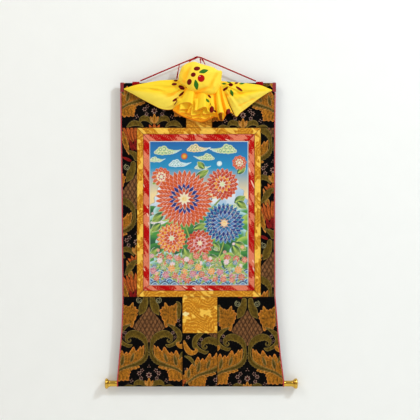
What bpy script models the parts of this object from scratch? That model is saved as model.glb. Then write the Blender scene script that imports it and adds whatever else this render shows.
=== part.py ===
"""A thangka scroll: a picture panel in two brocade borders on a pieced brocade mount.

It hangs by a cord from its batten, is weighted by a roller with brass knobs, and its thin silk veil
is gathered up in front of the batten. The origin is the cord's apex, where it hangs. +X is to the
right of someone who faces the picture, +Z is up, and the picture faces -Y. Sizes below are in
millimetres, and MM turns them into metres.
"""

import math

import bmesh
import bpy
from mathutils import Vector

MM = 0.001
GAP = 0.3

# Cloth mount
CLOTH = 1.6
BINDING_WIDTH = 4.4
BINDING_THICKNESS = 1.8
TOP_SEAM = -290.3
BOTTOM_SEAM = -983.2
DOOR_BOTTOM = -1131.6
STRIP_LEFT, STRIP_RIGHT = -49.6, 56.6
DOOR_LEFT, DOOR_RIGHT = -64.8, 78.0
CELL = 60.0

# How the mount hangs: soft waves that fade out near the batten and the roller, and curled side edges
WAVE_DEPTH, WAVE_ACROSS, WAVE_DOWN = 1.4, 74.0, 210.0
EDGE_CURL, CURL_REACH = 2.2, 330.0
FREE_TOP, FREE_BOTTOM, FREE_FADE = -170.0, -1290.0, 130.0

# Picture and its two borders
FRAME_CENTRE = 2.5
PICTURE_HALF_WIDTH, PICTURE_TOP, PICTURE_BOTTOM = 202.5, -345.0, -935.2
CRIMSON_HALF_WIDTH, CRIMSON_TOP, CRIMSON_BOTTOM = 228.0, -316.2, -957.8
GOLD_HALF_WIDTH = 253.5

# Outer edges of the mount, binding included, as the cloth hangs
# Height z, left edge x, right edge x
EDGES = [
    (-105.0, -320.0, 317.5),
    (-290.0, -318.0, 315.7),
    (-600.0, -314.0, 315.0),
    (-980.0, -311.0, 316.0),
    (-1030.0, -311.6, 320.6),
    (-1127.0, -315.7, 328.8),
    (-1226.0, -324.6, 339.0),
    (-1308.0, -332.1, 349.3),
    (-1325.0, -333.3, 351.4),
    (-1352.0, -333.3, 351.4),
]

# Batten in the top sleeve
BATTEN_HEIGHT, BATTEN_THICKNESS, BATTEN_ROUNDING = 30.0, 12.0, 2.8
BATTEN_END_GAP = 1.0
SLEEVE_TOP = -105.4
SLEEVE_CORNER = 4.0
SLEEVE_FRONT = (30.0, 15.0)
TOP_FLAT_END = -200.0
TOP_HEM_LOOSE, TOP_HEM_SEWN, TOP_HEM_END = -160.0, -165.0, -176.0
COVER_WIDTH, COVER_THICKNESS, COVER_HEIGHT = 14.0, 1.2, 38.0
COVER_LEFT_END, COVER_RIGHT_END = -319.8, 318.6

# Roller in the bottom sleeve, and its turned knobs
ROLLER_RADIUS, ROLLER_Z = 11.0, -1339.0
ROLLER_WRAP = 1.12
LOW_FLAT_END = -1230.0
LOW_FRONT = (-1270.0, -1305.0, -1325.0)
LOW_HEM_LOOSE, LOW_HEM_NEAR, LOW_HEM_SEWN, LOW_HEM_END = -1306.0, -1297.0, -1292.0, -1280.0
SOCKET_DEPTH = 13.0
KNOB_LEFT_LENGTH, KNOB_RIGHT_LENGTH = 50.5, 57.0
# Share of the length from the cloth, radius
KNOB_PROFILE = [
    (0.00, 12.4),
    (0.05, 12.7),
    (0.46, 11.9),
    (0.56, 12.6),
    (0.66, 15.6),
    (0.73, 19.2),
    (0.76, 20.8),
    (0.79, 21.5),
    (0.88, 21.6),
    (0.93, 20.8),
    (0.97, 17.0),
    (1.00, 10.0),
]

# Cord, lashings and ties
CORD_DIAMETER, TIE_DIAMETER = 5.0, 3.2
LASHING_THICKNESS, LASHING_WIDTH, LASHING_HEIGHT = 4.5, 29.0, 33.0
LASHING_LEFT, LASHING_RIGHT = -255.5, 251.0
# Name, x on the cord, share of the way round the puff
TIES = [
    ("tie_left", -12.0, 0.19),
    ("tie_middle", 8.5, 0.29),
    ("tie_right", 15.0, 0.322),
]
TIE_LIFT, DROP_TIE_LIFT = 2.0, 1.0
DROP_TIE_TOP_X, DROP_TIE_FOOT_X = -78.0, -88.0
# x, y, z
CORD_ROUTE = [
    (-238.0, 0.0, -97.6),
    (-210.0, -0.4, -85.8),
    (-160.0, -0.6, -64.4),
    (-110.0, -0.6, -43.2),
    (-60.0, -0.3, -22.2),
    (-24.0, 0.0, -7.6),
    (-9.0, 0.0, -1.8),
    (0.0, 0.0, 0.0),
    (9.0, 0.0, -2.0),
    (26.0, 0.0, -8.8),
    (70.0, -0.3, -27.6),
    (120.0, -0.6, -49.0),
    (170.0, -0.6, -70.4),
    (214.0, -0.4, -89.2),
    (236.0, 0.0, -98.4),
]

# Veil
SILK = 2.0
# x, top z, bottom z, y, from the tip inwards
LEFT_WING = [
    (-304.0, -129.5, -133.5, -13.0),
    (-269.0, -118.0, -152.0, -23.0),
    (-237.0, -110.5, -170.5, -26.0),
    (-187.0, -101.0, -197.0, -27.0),
    (-151.0, -95.5, -214.0, -27.0),
    (-116.0, -94.0, -217.5, -27.0),
    (-90.0, -93.0, -208.0, -28.0),
    (-62.0, -92.0, -176.0, -30.0),
    (-40.0, -96.0, -146.0, -32.0),
]
RIGHT_WING = [
    (302.0, -135.0, -139.0, -13.0),
    (283.0, -126.5, -149.0, -20.0),
    (261.0, -117.5, -163.0, -24.0),
    (234.0, -112.0, -182.0, -26.0),
    (202.0, -108.0, -207.5, -27.0),
    (173.0, -105.0, -230.0, -27.0),
    (155.0, -103.5, -245.5, -27.0),
    (137.0, -102.0, -214.0, -28.0),
    (112.0, -100.0, -168.0, -29.0),
    (84.0, -98.0, -130.0, -32.0),
]
WING_NOSE, WING_ROLLED_SHARE, WING_BULGE, WING_LEAN = 7.0, 0.14, 5.0, 4.0
WING_BULGE_HEIGHT, WING_FOLD_HEIGHT = 80.0, 60.0
# Folds: start x, start z, end x, end z, width, rise
WING_FOLDS = [
    (-290.0, -127.0, -150.0, -112.0, 9.0, 5.0),
    (-212.0, -131.0, -140.0, -143.0, 5.0, -5.0),
    (-230.0, -128.0, -150.0, -131.0, 6.0, 4.0),
    (-250.0, -150.0, -100.0, -185.0, 26.0, 6.0),
    (-160.0, -152.0, -90.0, -158.0, 10.0, -5.0),
    (-128.0, -206.0, -96.0, -192.0, 6.0, 5.0),
    (110.0, -130.0, 250.0, -130.0, 15.0, 7.0),
    (105.0, -160.0, 268.0, -139.0, 6.0, -6.0),
    (120.0, -176.0, 240.0, -152.0, 14.0, 5.0),
    (150.0, -209.0, 250.0, -161.0, 4.0, -3.0),
]
PUFF_CENTRE = (7.0, -84.0)
PUFF_RIM_Y, PUFF_FRONT_DEPTH, PUFF_BACK_DEPTH = -42.0, 38.0, 27.0
PUFF_CAP_ANGLE, PUFF_EDGE_ANGLE, PUFF_BACK_ANGLE = 12.0, 90.0, 128.0
PUFF_FULLNESS, PUFF_FOLD_FADE = 0.8, 40.0
PUFF_TOP_ANGLE = 88.0
# x, z
PUFF_OUTLINE = [
    (-80.0, -83.0),
    (-75.0, -64.0),
    (-68.0, -45.0),
    (-55.0, -33.5),
    (-37.0, -25.0),
    (-15.0, -21.5),
    (8.0, -29.5),
    (34.0, -37.0),
    (63.0, -45.0),
    (79.0, -56.0),
    (97.0, -61.0),
    (95.0, -88.0),
    (93.0, -117.0),
    (82.0, -133.0),
    (71.0, -150.0),
    (49.0, -157.0),
    (20.0, -150.0),
    (-9.0, -146.0),
    (-31.0, -142.0),
    (-52.0, -123.0),
    (-74.0, -108.0),
]
PUFF_FOLDS = [
    (80.0, -66.0, 66.0, -90.0, 7.0, -6.0),
    (66.0, -90.0, 47.0, -127.0, 7.0, -9.0),
    (47.0, -127.0, 5.0, -140.0, 6.0, -8.0),
    (-33.0, -43.0, -56.0, -92.0, 8.0, -8.0),
    (-24.0, -42.0, -38.0, -80.0, 7.0, 4.0),
    (-70.0, -100.0, -52.0, -109.0, 5.0, -5.0),
    (60.0, -110.0, 76.0, -140.0, 8.0, 5.0),
]
# Neck x, y, z, then hem x, y, z
FALL = [
    (58.0, -24.0, -128.0, 78.0, -25.0, -240.0),
    (34.0, -22.0, -128.0, 50.0, -22.0, -255.0),
    (12.0, -21.0, -126.0, 14.0, -21.0, -268.0),
    (-10.0, -21.0, -122.0, -24.0, -21.0, -259.0),
    (-26.0, -23.0, -118.0, -62.0, -23.0, -246.0),
    (-36.0, -26.0, -114.0, -92.0, -27.0, -229.0),
    (-43.0, -31.0, -112.0, -104.0, -35.0, -218.0),
    (-40.0, -37.0, -114.0, -90.0, -46.0, -205.0),
    (-34.0, -41.0, -118.0, -70.0, -58.0, -194.0),
    (-28.0, -44.0, -122.0, -48.0, -69.0, -190.0),
    (-22.0, -46.0, -126.0, -32.0, -73.0, -193.0),
    (-17.0, -45.0, -128.0, -23.0, -67.0, -202.0),
    (-13.0, -43.0, -130.0, -28.0, -58.0, -212.0),
    (-9.0, -41.0, -131.0, -42.0, -52.0, -221.0),
    (-5.0, -39.0, -132.0, -47.0, -44.0, -231.0),
    (0.0, -39.0, -133.0, -34.0, -40.0, -233.0),
    (7.0, -42.0, -134.0, -14.0, -50.0, -226.0),
    (15.0, -45.0, -134.0, 6.0, -66.0, -216.0),
    (23.0, -46.0, -134.0, 24.0, -72.0, -209.0),
    (31.0, -44.0, -134.0, 35.0, -66.0, -213.0),
    (37.0, -41.0, -134.0, 37.0, -56.0, -223.0),
    (43.0, -39.0, -134.0, 45.0, -52.0, -231.0),
    (50.0, -38.0, -133.0, 60.0, -56.0, -231.0),
    (57.0, -37.0, -132.0, 72.0, -50.0, -238.0),
    (62.0, -36.0, -131.0, 79.0, -40.0, -250.0),
    (66.0, -36.0, -130.0, 88.0, -38.0, -264.0),
    (70.0, -38.0, -129.0, 80.0, -53.0, -248.0),
    (73.5, -40.0, -128.0, 84.0, -69.0, -235.0),
    (77.0, -41.0, -127.0, 94.0, -74.0, -232.0),
    (80.5, -40.0, -126.0, 103.0, -69.0, -234.0),
    (83.5, -38.0, -125.0, 108.0, -56.0, -243.0),
    (86.0, -36.0, -124.0, 100.0, -44.0, -264.0),
    (88.5, -34.5, -123.0, 107.0, -35.0, -252.0),
    (91.0, -34.0, -122.0, 115.0, -43.0, -238.0),
    (93.0, -34.0, -121.0, 123.0, -50.0, -235.0),
    (95.0, -33.0, -120.0, 132.0, -45.0, -230.0),
    (96.5, -32.0, -119.0, 140.0, -40.0, -233.0),
    (98.0, -30.0, -118.0, 151.0, -37.0, -251.0),
]
FALL_FLARE = 1.25
FALL_BULGE, FALL_FRONT_Y, FALL_FRONT_FADE = 5.0, -28.0, 20.0

BATTEN_TOP = SLEEVE_TOP - CLOTH - GAP
BATTEN_BOTTOM = BATTEN_TOP - BATTEN_HEIGHT
SHEET_Y = -(BATTEN_THICKNESS / 2 + GAP + CLOTH / 2)
HEM_Y = SHEET_Y + CLOTH + GAP
ROLLER_Y = SHEET_Y + CLOTH / 2 + GAP + ROLLER_RADIUS


# Geometry helpers


def smooth_step(t):
    t = min(max(t, 0.0), 1.0)
    return t * t * (3 - 2 * t)


def along(rows, t, closed=False):
    """The point at share t of a smooth curve through the rows, which may be a closed ring."""
    count = len(rows)
    spans = count if closed else count - 1
    place = min(max(t, 0.0), 1.0) * spans
    i = min(int(place), spans - 1)
    f = place - i

    def row(k):
        return rows[k % count] if closed else rows[min(max(k, 0), count - 1)]

    before, start, end, after = row(i - 1), row(i), row(i + 1), row(i + 2)
    return [
        0.5
        * (2 * b + (c - a) * f + (2 * a - 5 * b + 4 * c - d) * f * f + (3 * b - a - 3 * c + d) * f**3)
        for a, b, c, d in zip(before, start, end, after)
    ]


def at_x(rows, x):
    """The rest of a table's row where its first column passes x, straight between rows."""
    ordered = sorted(rows)
    x = min(max(x, ordered[0][0]), ordered[-1][0])
    for low, high in zip(ordered, ordered[1:]):
        if x <= high[0]:
            f = (x - low[0]) / (high[0] - low[0])
            return [a + (b - a) * f for a, b in zip(low[1:], high[1:])]


def edge_left(z):
    return at_x(EDGES, z)[0] + BINDING_WIDTH + GAP


def edge_right(z):
    return at_x(EDGES, z)[1] - BINDING_WIDTH - GAP


def hang(x, z):
    """How far the mount stands out of its plane: soft waves, and side edges that curl forward."""
    free = smooth_step((FREE_TOP - z) / FREE_FADE) * smooth_step((z - FREE_BOTTOM) / FREE_FADE)
    wave = WAVE_DEPTH * math.sin(x / WAVE_ACROSS + 0.7) * math.sin(z / WAVE_DOWN + 0.4)
    return free * (wave - EDGE_CURL * abs(x / CURL_REACH) ** 6)


def relief(folds, x, z):
    """The rise of the cloth at a point, summed over folds that fade out past their two ends."""
    total = 0.0
    for x0, z0, x1, z1, width, rise in folds:
        dx, dz = x1 - x0, z1 - z0
        share = ((x - x0) * dx + (z - z0) * dz) / (dx * dx + dz * dz)
        near = min(max(share, 0.0), 1.0)
        distance = math.hypot(x - x0 - near * dx, z - z0 - near * dz)
        fade = 0.35 + 0.65 * math.sin(math.pi * near)
        total += rise * fade * math.exp(-((distance / width) ** 2))
    return total


# Object helpers


def material(name, colour, roughness, metallic=0.0):
    found = bpy.data.materials.get(name)
    if found:
        return found
    made = bpy.data.materials.new(name)
    made.use_nodes = True
    shader = made.node_tree.nodes["Principled BSDF"]
    shader.inputs["Base Color"].default_value = (*colour, 1.0)
    shader.inputs["Roughness"].default_value = roughness
    shader.inputs["Metallic"].default_value = metallic
    return made


def black_brocade():
    return material("black brocade", (0.055, 0.045, 0.018), 0.7)


def gold_brocade():
    return material("gold brocade", (0.72, 0.42, 0.06), 0.5)


def crimson_brocade():
    return material("crimson brocade", (0.50, 0.02, 0.025), 0.55)


def painted_cotton():
    return material("painted cotton", (0.30, 0.28, 0.30), 0.75)


def red_binding():
    return material("red binding", (0.42, 0.02, 0.03), 0.6)


def red_cord():
    return material("red cord", (0.40, 0.015, 0.03), 0.6)


def yellow_silk():
    return material("yellow silk", (0.95, 0.66, 0.04), 0.4)


def wood():
    return material("wood", (0.38, 0.22, 0.10), 0.6)


def brass():
    return material("brass", (0.80, 0.56, 0.18), 0.25, 1.0)


def new_collection(name):
    made = bpy.data.collections.new(name)
    bpy.context.scene.collection.children.link(made)
    return made


def add(name, data, finish):
    made = bpy.data.objects.new(name, data)
    made.data.materials.append(finish)
    bpy.data.collections["thangka scroll"].objects.link(made)
    return made


def solidify(target, thickness):
    shell = target.modifiers.new("thickness", "SOLIDIFY")
    shell.thickness = thickness * MM
    shell.offset = 0.0
    return shell


def surface(name, columns, rows, point, finish):
    """An open sheet whose grid is laid out by point(across, down), both from 0 to 1."""
    bm = bmesh.new()
    bmesh.ops.create_grid(bm, x_segments=columns, y_segments=rows, size=0.5)
    for vertex in bm.verts:
        x, y, z = point(vertex.co.x + 0.5, 0.5 - vertex.co.y)
        vertex.co = Vector((x, y, z)) * MM
    mesh = bpy.data.meshes.new(name)
    bm.to_mesh(mesh)
    bm.free()
    return add(name, mesh, finish)


def sheet(name, columns, rows, point, thickness, finish):
    made = surface(name, columns, rows, point, finish)
    solidify(made, thickness)
    return made


def cells(length):
    return max(1, math.ceil(abs(length) / CELL))


def tube(name, points, diameter, finish):
    """A round cord of straight pieces, read at even steps from a smooth curve through its points."""
    span = sum(math.dist(a, b) for a, b in zip(points, points[1:]))
    steps = max(6, math.ceil(span / (2.5 * diameter)))
    data = bpy.data.curves.new(name, "CURVE")
    data.dimensions = "3D"
    data.bevel_depth = diameter / 2 * MM
    data.bevel_resolution = 2
    data.use_fill_caps = True
    line = data.splines.new("POLY")
    line.points.add(steps)
    for i, point in enumerate(line.points):
        x, y, z = along(points, i / steps)
        point.co = (x * MM, y * MM, z * MM, 1.0)
    return add(name, data, finish)


# Cloth mount


def top_sleeve():
    """The section of the upper hem: up the batten's front, over it, down its back and to the sheet."""
    reach = -SHEET_Y - SLEEVE_CORNER
    top = SLEEVE_TOP - CLOTH / 2
    steps = 4
    section = [(SHEET_Y, top - SLEEVE_CORNER - drop) for drop in SLEEVE_FRONT]
    for middle, start in ((-reach, math.pi), (reach, math.pi / 2)):
        for i in range(steps + 1):
            turn = start - i / steps * math.pi / 2
            y = middle + SLEEVE_CORNER * math.cos(turn)
            z = top - SLEEVE_CORNER + SLEEVE_CORNER * math.sin(turn)
            section.append((y, z))
    section += [(-SHEET_Y, BATTEN_BOTTOM - 2.0), (-SHEET_Y - 3.5, BATTEN_BOTTOM - 9.0)]
    section += [(HEM_Y + 1.5, TOP_HEM_LOOSE), (HEM_Y, TOP_HEM_SEWN), (HEM_Y, TOP_HEM_END)]
    return section


def bottom_sleeve():
    """The section of the lower hem: down the roller's front, under it and up to the sheet's back."""
    ring = ROLLER_RADIUS + GAP + CLOTH / 2
    steps = 12
    section = [(SHEET_Y, z) for z in LOW_FRONT]
    for i in range(steps + 1):
        turn = math.pi + i / steps * math.pi * ROLLER_WRAP
        section.append((ROLLER_Y + ring * math.cos(turn), ROLLER_Z + ring * math.sin(turn)))
    section += [(HEM_Y + 3.4, LOW_HEM_LOOSE), (HEM_Y + 0.5, LOW_HEM_NEAR)]
    section += [(HEM_Y, LOW_HEM_SEWN), (HEM_Y, LOW_HEM_END)]
    return section


def rows_between(high, low):
    count = cells(high - low)
    return [(SHEET_Y, high + (low - high) * i / count) for i in range(count + 1)]


def section_sheet(name, section, left, right, finish):
    """A sheet swept across from left(z) to right(z) along a section of (y, z) points."""
    middle_z = section[0][1]
    columns = cells(right(middle_z) - left(middle_z))
    rows = len(section) - 1

    def point(across, down):
        y, z = section[round(down * rows)]
        x = left(z) + (right(z) - left(z)) * across
        return x, y + hang(x, z), z

    return sheet(name, columns, rows, point, CLOTH, finish)


def fixed(x):
    return lambda z: x


def build_top_panels():
    half = GAP / 2
    section = rows_between(TOP_SEAM + half, TOP_FLAT_END) + top_sleeve()
    left, right = fixed(STRIP_LEFT + half), fixed(STRIP_RIGHT - half)
    section_sheet("brocade_top_left", section, edge_left, fixed(STRIP_LEFT - half), black_brocade())
    section_sheet("gold_strip", section, left, right, gold_brocade())
    section_sheet("brocade_top_right", section, fixed(STRIP_RIGHT + half), edge_right, black_brocade())


def build_side_panels():
    section = rows_between(TOP_SEAM - GAP / 2, BOTTOM_SEAM + GAP / 2)
    inner_left = FRAME_CENTRE - GOLD_HALF_WIDTH - GAP / 2
    inner_right = FRAME_CENTRE + GOLD_HALF_WIDTH + GAP / 2
    section_sheet("brocade_side_left", section, edge_left, fixed(inner_left), black_brocade())
    section_sheet("brocade_side_right", section, fixed(inner_right), edge_right, black_brocade())


def build_bottom_panels():
    half = GAP / 2
    full = rows_between(BOTTOM_SEAM - half, LOW_FLAT_END) + bottom_sleeve()
    short = rows_between(DOOR_BOTTOM - half, LOW_FLAT_END) + bottom_sleeve()
    door = rows_between(BOTTOM_SEAM - half, DOOR_BOTTOM + half)
    left, right = fixed(DOOR_LEFT + half), fixed(DOOR_RIGHT - half)
    section_sheet("brocade_low_left", full, edge_left, fixed(DOOR_LEFT - half), black_brocade())
    section_sheet("brocade_low_middle", short, left, right, black_brocade())
    section_sheet("brocade_low_right", full, fixed(DOOR_RIGHT + half), edge_right, black_brocade())
    section_sheet("gold_door", door, left, right, gold_brocade())


def build_edge_bindings():
    """A narrow band along each side edge, which follows the cloth round the roller."""
    section = rows_between(BATTEN_TOP - COVER_HEIGHT, LOW_FLAT_END) + bottom_sleeve()
    for side, column, inward in (("left", 0, 1), ("right", 1, -1)):

        def point(across, down, column=column, inward=inward):
            y, z = section[round(down * (len(section) - 1))]
            x = at_x(EDGES, z)[column] + inward * across * BINDING_WIDTH
            return x, y + hang(x, z), z

        rows = len(section) - 1
        sheet(f"edge_binding_{side}", 1, rows, point, BINDING_THICKNESS, red_binding())


# Picture and borders


def build_picture():
    half = PICTURE_HALF_WIDTH - GAP / 2
    top, bottom = PICTURE_TOP - GAP / 2, PICTURE_BOTTOM + GAP / 2

    def point(across, down):
        x = FRAME_CENTRE + half * (2 * across - 1)
        z = top + (bottom - top) * down
        return x, SHEET_Y + hang(x, z), z

    sheet("painting", cells(2 * half), cells(top - bottom), point, CLOTH, painted_cotton())


def build_border(name, outer, inner, finish):
    """Four strips, mitred where they meet, between two rectangles of (half width, top, bottom)."""
    half = GAP / 2
    outer_half, outer_top, outer_bottom = outer[0] - half, outer[1] - half, outer[2] + half
    inner_half, inner_top, inner_bottom = inner[0] + half, inner[1] + half, inner[2] - half
    for side, wide_z, narrow_z in (("top", outer_top, inner_top), ("bottom", outer_bottom, inner_bottom)):

        def level(across, down, wide_z=wide_z, narrow_z=narrow_z):
            reach = outer_half + (inner_half - outer_half) * down - GAP
            x = FRAME_CENTRE + reach * (2 * across - 1)
            z = wide_z + (narrow_z - wide_z) * down
            return x, SHEET_Y + hang(x, z), z

        sheet(f"{name}_{side}", cells(2 * outer_half), 1, level, CLOTH, finish)
    for side, sign in (("left", -1), ("right", 1)):

        def upright(across, down, sign=sign):
            x = FRAME_CENTRE + sign * (outer_half + (inner_half - outer_half) * across)
            high = outer_top + (inner_top - outer_top) * across - GAP
            low = outer_bottom + (inner_bottom - outer_bottom) * across + GAP
            z = high + (low - high) * down
            return x, SHEET_Y + hang(x, z), z

        sheet(f"{name}_{side}", 1, cells(outer_top - outer_bottom), upright, CLOTH, finish)


def build_borders():
    picture = (PICTURE_HALF_WIDTH, PICTURE_TOP, PICTURE_BOTTOM)
    crimson = (CRIMSON_HALF_WIDTH, CRIMSON_TOP, CRIMSON_BOTTOM)
    gold = (GOLD_HALF_WIDTH, TOP_SEAM, BOTTOM_SEAM)
    build_border("crimson_border", crimson, picture, crimson_brocade())
    build_border("gold_border", gold, crimson, gold_brocade())


# Batten and roller


def box(name, low, high, finish):
    bm = bmesh.new()
    bmesh.ops.create_cube(bm, size=1.0)
    for vertex in bm.verts:
        place = [a + (b - a) * (c + 0.5) for a, b, c in zip(low, high, vertex.co)]
        vertex.co = Vector(place) * MM
    mesh = bpy.data.meshes.new(name)
    bm.to_mesh(mesh)
    bm.free()
    return add(name, mesh, finish)


def saddle(name, low, high, open_ends, thickness, finish):
    """A shell laid over the sleeve: a box without its underside and without its ends at -1 or +1 along X."""
    made = box(name, low, high, finish)
    bm = bmesh.new()
    bm.from_mesh(made.data)
    gone = [f for f in bm.faces if f.normal.z < -0.5 or round(f.normal.x) in open_ends]
    bmesh.ops.delete(bm, geom=gone, context="FACES")
    bm.to_mesh(made.data)
    bm.free()
    shell = solidify(made, thickness)
    shell.use_even_offset = True
    return made


def build_batten():
    low = (edge_left(BATTEN_TOP) + BATTEN_END_GAP, -BATTEN_THICKNESS / 2, BATTEN_BOTTOM)
    high = (edge_right(BATTEN_TOP) - BATTEN_END_GAP, BATTEN_THICKNESS / 2, BATTEN_TOP)
    batten = box("batten", low, high, wood())
    rounding = batten.modifiers.new("rounded edges", "BEVEL")
    rounding.width = BATTEN_ROUNDING * MM
    rounding.segments = 3
    reach = -SHEET_Y + CLOTH / 2 + GAP + COVER_THICKNESS / 2
    top = SLEEVE_TOP + GAP + COVER_THICKNESS / 2
    bottom = top - COVER_HEIGHT
    for side, end, inward in (("left", COVER_LEFT_END, 1), ("right", COVER_RIGHT_END, -1)):
        inner = end + inward * COVER_WIDTH
        low = (min(end, inner), -reach, bottom)
        high = (max(end, inner), reach, top)
        saddle(f"batten_cover_{side}", low, high, (inward,), COVER_THICKNESS, red_binding())


def turned(name, profile, finish):
    """A solid turned about the X axis from (x, radius) points, from its +X end to its -X end."""
    bm = bmesh.new()
    points = [bm.verts.new((x * MM, 0.0, radius * MM)) for x, radius in profile]
    for a, b in zip(points, points[1:]):
        bm.edges.new((a, b))
    mesh = bpy.data.meshes.new(name)
    bm.to_mesh(mesh)
    bm.free()
    made = add(name, mesh, finish)
    turn = made.modifiers.new("turned", "SCREW")
    turn.axis = "X"
    turn.steps = turn.render_steps = 28
    turn.use_merge_vertices = True
    turn.merge_threshold = 1e-5
    made.location = (0.0, ROLLER_Y * MM, ROLLER_Z * MM)
    return made


def build_roller():
    start = at_x(EDGES, ROLLER_Z)[0] - SOCKET_DEPTH
    end = at_x(EDGES, ROLLER_Z)[1] + SOCKET_DEPTH
    profile = [(end, 0.0), (end, ROLLER_RADIUS), (start, ROLLER_RADIUS), (start, 0.0)]
    turned("roller", profile, wood())
    for side, column, outward, length in (
        ("left", 0, -1, KNOB_LEFT_LENGTH),
        ("right", 1, 1, KNOB_RIGHT_LENGTH),
    ):
        face = at_x(EDGES, ROLLER_Z)[column] + outward * GAP
        floor = face + outward * (SOCKET_DEPTH + GAP)
        bore = ROLLER_RADIUS + GAP
        shape = [(floor, 0.0), (floor, bore), (face, bore)]
        shape += [(face + outward * share * length, radius) for share, radius in KNOB_PROFILE]
        shape += [(face + outward * length, 0.0)]
        if outward > 0:
            shape.reverse()
        turned(f"knob_{side}", shape, brass())


# Cords


def build_lashings():
    reach = -SHEET_Y + CLOTH / 2 + GAP + LASHING_THICKNESS / 2
    top = SLEEVE_TOP + GAP + LASHING_THICKNESS / 2
    for side, middle in (("left", LASHING_LEFT), ("right", LASHING_RIGHT)):
        low = (middle - LASHING_WIDTH / 2, -reach, top - LASHING_HEIGHT)
        high = (middle + LASHING_WIDTH / 2, reach, top)
        saddle(f"lashing_{side}", low, high, (-1, 1), LASHING_THICKNESS, red_cord())


def build_cords():
    tube("hang_cord", CORD_ROUTE, CORD_DIAMETER, red_cord())
    under = (CORD_DIAMETER + TIE_DIAMETER) / 2 + GAP
    clear = TIE_DIAMETER / 2 + SILK / 2 + GAP
    for name, x, turn in TIES:
        z = at_x(CORD_ROUTE, x)[1] - under
        foot_x, foot_y, foot_z = puff(turn, PUFF_TOP_ANGLE)
        end = (foot_x, foot_y, foot_z + clear)
        middle = ((x + foot_x) / 2, foot_y / 2, (z + end[2]) / 2 + TIE_LIFT)
        tube(name, [(x, 0.0, z), middle, end], TIE_DIAMETER, red_cord())
    x = DROP_TIE_TOP_X
    z = at_x(CORD_ROUTE, x)[1] - under
    wing_top, _, wing_y = at_x(LEFT_WING, DROP_TIE_FOOT_X)
    end = (DROP_TIE_FOOT_X, wing_y + WING_NOSE * 0.4, wing_top + clear)
    middle = ((x + end[0]) / 2, end[1] * 0.45, (z + end[2]) / 2 + DROP_TIE_LIFT)
    tube("drop_tie", [(x, 0.0, z), middle, end], TIE_DIAMETER, red_cord())


# Veil


def wing(rows, across, down):
    """A point of a wing, from its tip at across 0, with its upper edge rolled back over."""
    x, top, bottom, y = along(rows, across)
    nose = min(WING_NOSE, (top - bottom) * 0.3)
    if down < WING_ROLLED_SHARE:
        turn = (1 - down / WING_ROLLED_SHARE) * math.pi * 0.5
        z = top - nose + nose * math.sin(turn) * 0.9
        y = y + nose * (1 - math.cos(turn))
    else:
        share = (down - WING_ROLLED_SHARE) / (1 - WING_ROLLED_SHARE)
        z = top - nose + (bottom - top + nose) * share
        bulge = WING_BULGE * math.sin(math.pi * share) * min(1.0, (top - bottom) / WING_BULGE_HEIGHT)
        y = y - bulge + WING_LEAN * share**3
        y -= relief(WING_FOLDS, x, z) * smooth_step((top - bottom) / WING_FOLD_HEIGHT)
    return x, y, z


def puff(turn, depth):
    """A point of the puff: turn is the share of the way round it, depth the angle from its front."""
    x, z = along(PUFF_OUTLINE, turn, closed=True)
    angle = math.radians(depth)
    spread = math.sin(angle) ** (PUFF_FULLNESS if depth < PUFF_EDGE_ANGLE else 1.0)
    x = PUFF_CENTRE[0] + (x - PUFF_CENTRE[0]) * spread
    z = PUFF_CENTRE[1] + (z - PUFF_CENTRE[1]) * spread
    reach = PUFF_FRONT_DEPTH if depth < PUFF_EDGE_ANGLE else PUFF_BACK_DEPTH
    y = PUFF_RIM_Y - reach * math.cos(angle)
    if depth < PUFF_EDGE_ANGLE:
        y -= relief(PUFF_FOLDS, x, z) * smooth_step((PUFF_EDGE_ANGLE - depth) / PUFF_FOLD_FADE)
    return x, y, z


def fall(across, down):
    """A point of the fluted fall, between its gathered neck and its hem."""
    neck_x, neck_y, neck_z, hem_x, hem_y, hem_z = along(FALL, across)
    flare = down**FALL_FLARE
    front = smooth_step((FALL_FRONT_Y - hem_y) / FALL_FRONT_FADE)
    x = neck_x + (hem_x - neck_x) * flare
    y = neck_y + (hem_y - neck_y) * down - FALL_BULGE * front * math.sin(math.pi * down)
    z = neck_z + (hem_z - neck_z) * down
    return x, y, z


def build_puff():
    """The puff as a dome that is open at the back, closed with a small cap at its front."""
    turns, rings = 36, 9
    bm = bmesh.new()
    pole = bm.verts.new(Vector(puff(0.0, 0.0)) * MM)
    last = None
    for i in range(rings):
        depth = PUFF_CAP_ANGLE + (PUFF_BACK_ANGLE - PUFF_CAP_ANGLE) * i / (rings - 1)
        ring = [bm.verts.new(Vector(puff(k / turns, depth)) * MM) for k in range(turns)]
        for k in range(turns):
            after = (k + 1) % turns
            if last:
                bm.faces.new((last[k], ring[k], ring[after], last[after]))
            else:
                bm.faces.new((pole, ring[k], ring[after]))
        last = ring
    bmesh.ops.recalc_face_normals(bm, faces=bm.faces)
    mesh = bpy.data.meshes.new("veil_puff")
    bm.to_mesh(mesh)
    bm.free()
    return add("veil_puff", mesh, yellow_silk())


def build_veil():
    """One length of silk: its wings, puff and fall are thick sheets, joined where they are gathered."""
    whole = surface("veil", 76, 7, fall, yellow_silk())
    solidify(whole, SILK)
    left = surface("veil_wing_left", 18, 10, lambda a, d: wing(LEFT_WING, a, d), yellow_silk())
    right = surface("veil_wing_right", 18, 10, lambda a, d: wing(RIGHT_WING, a, d), yellow_silk())
    for extra in (left, right, build_puff()):
        solidify(extra, SILK)
        bpy.data.collections["thangka scroll"].objects.unlink(extra)
        bpy.data.collections["joined shapes"].objects.link(extra)
        extra.hide_render = True
        extra.display_type = "WIRE"
        join = whole.modifiers.new(extra.name, "BOOLEAN")
        join.operation = "UNION"
        join.solver = "EXACT"
        join.use_self = True
        join.object = extra


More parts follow.
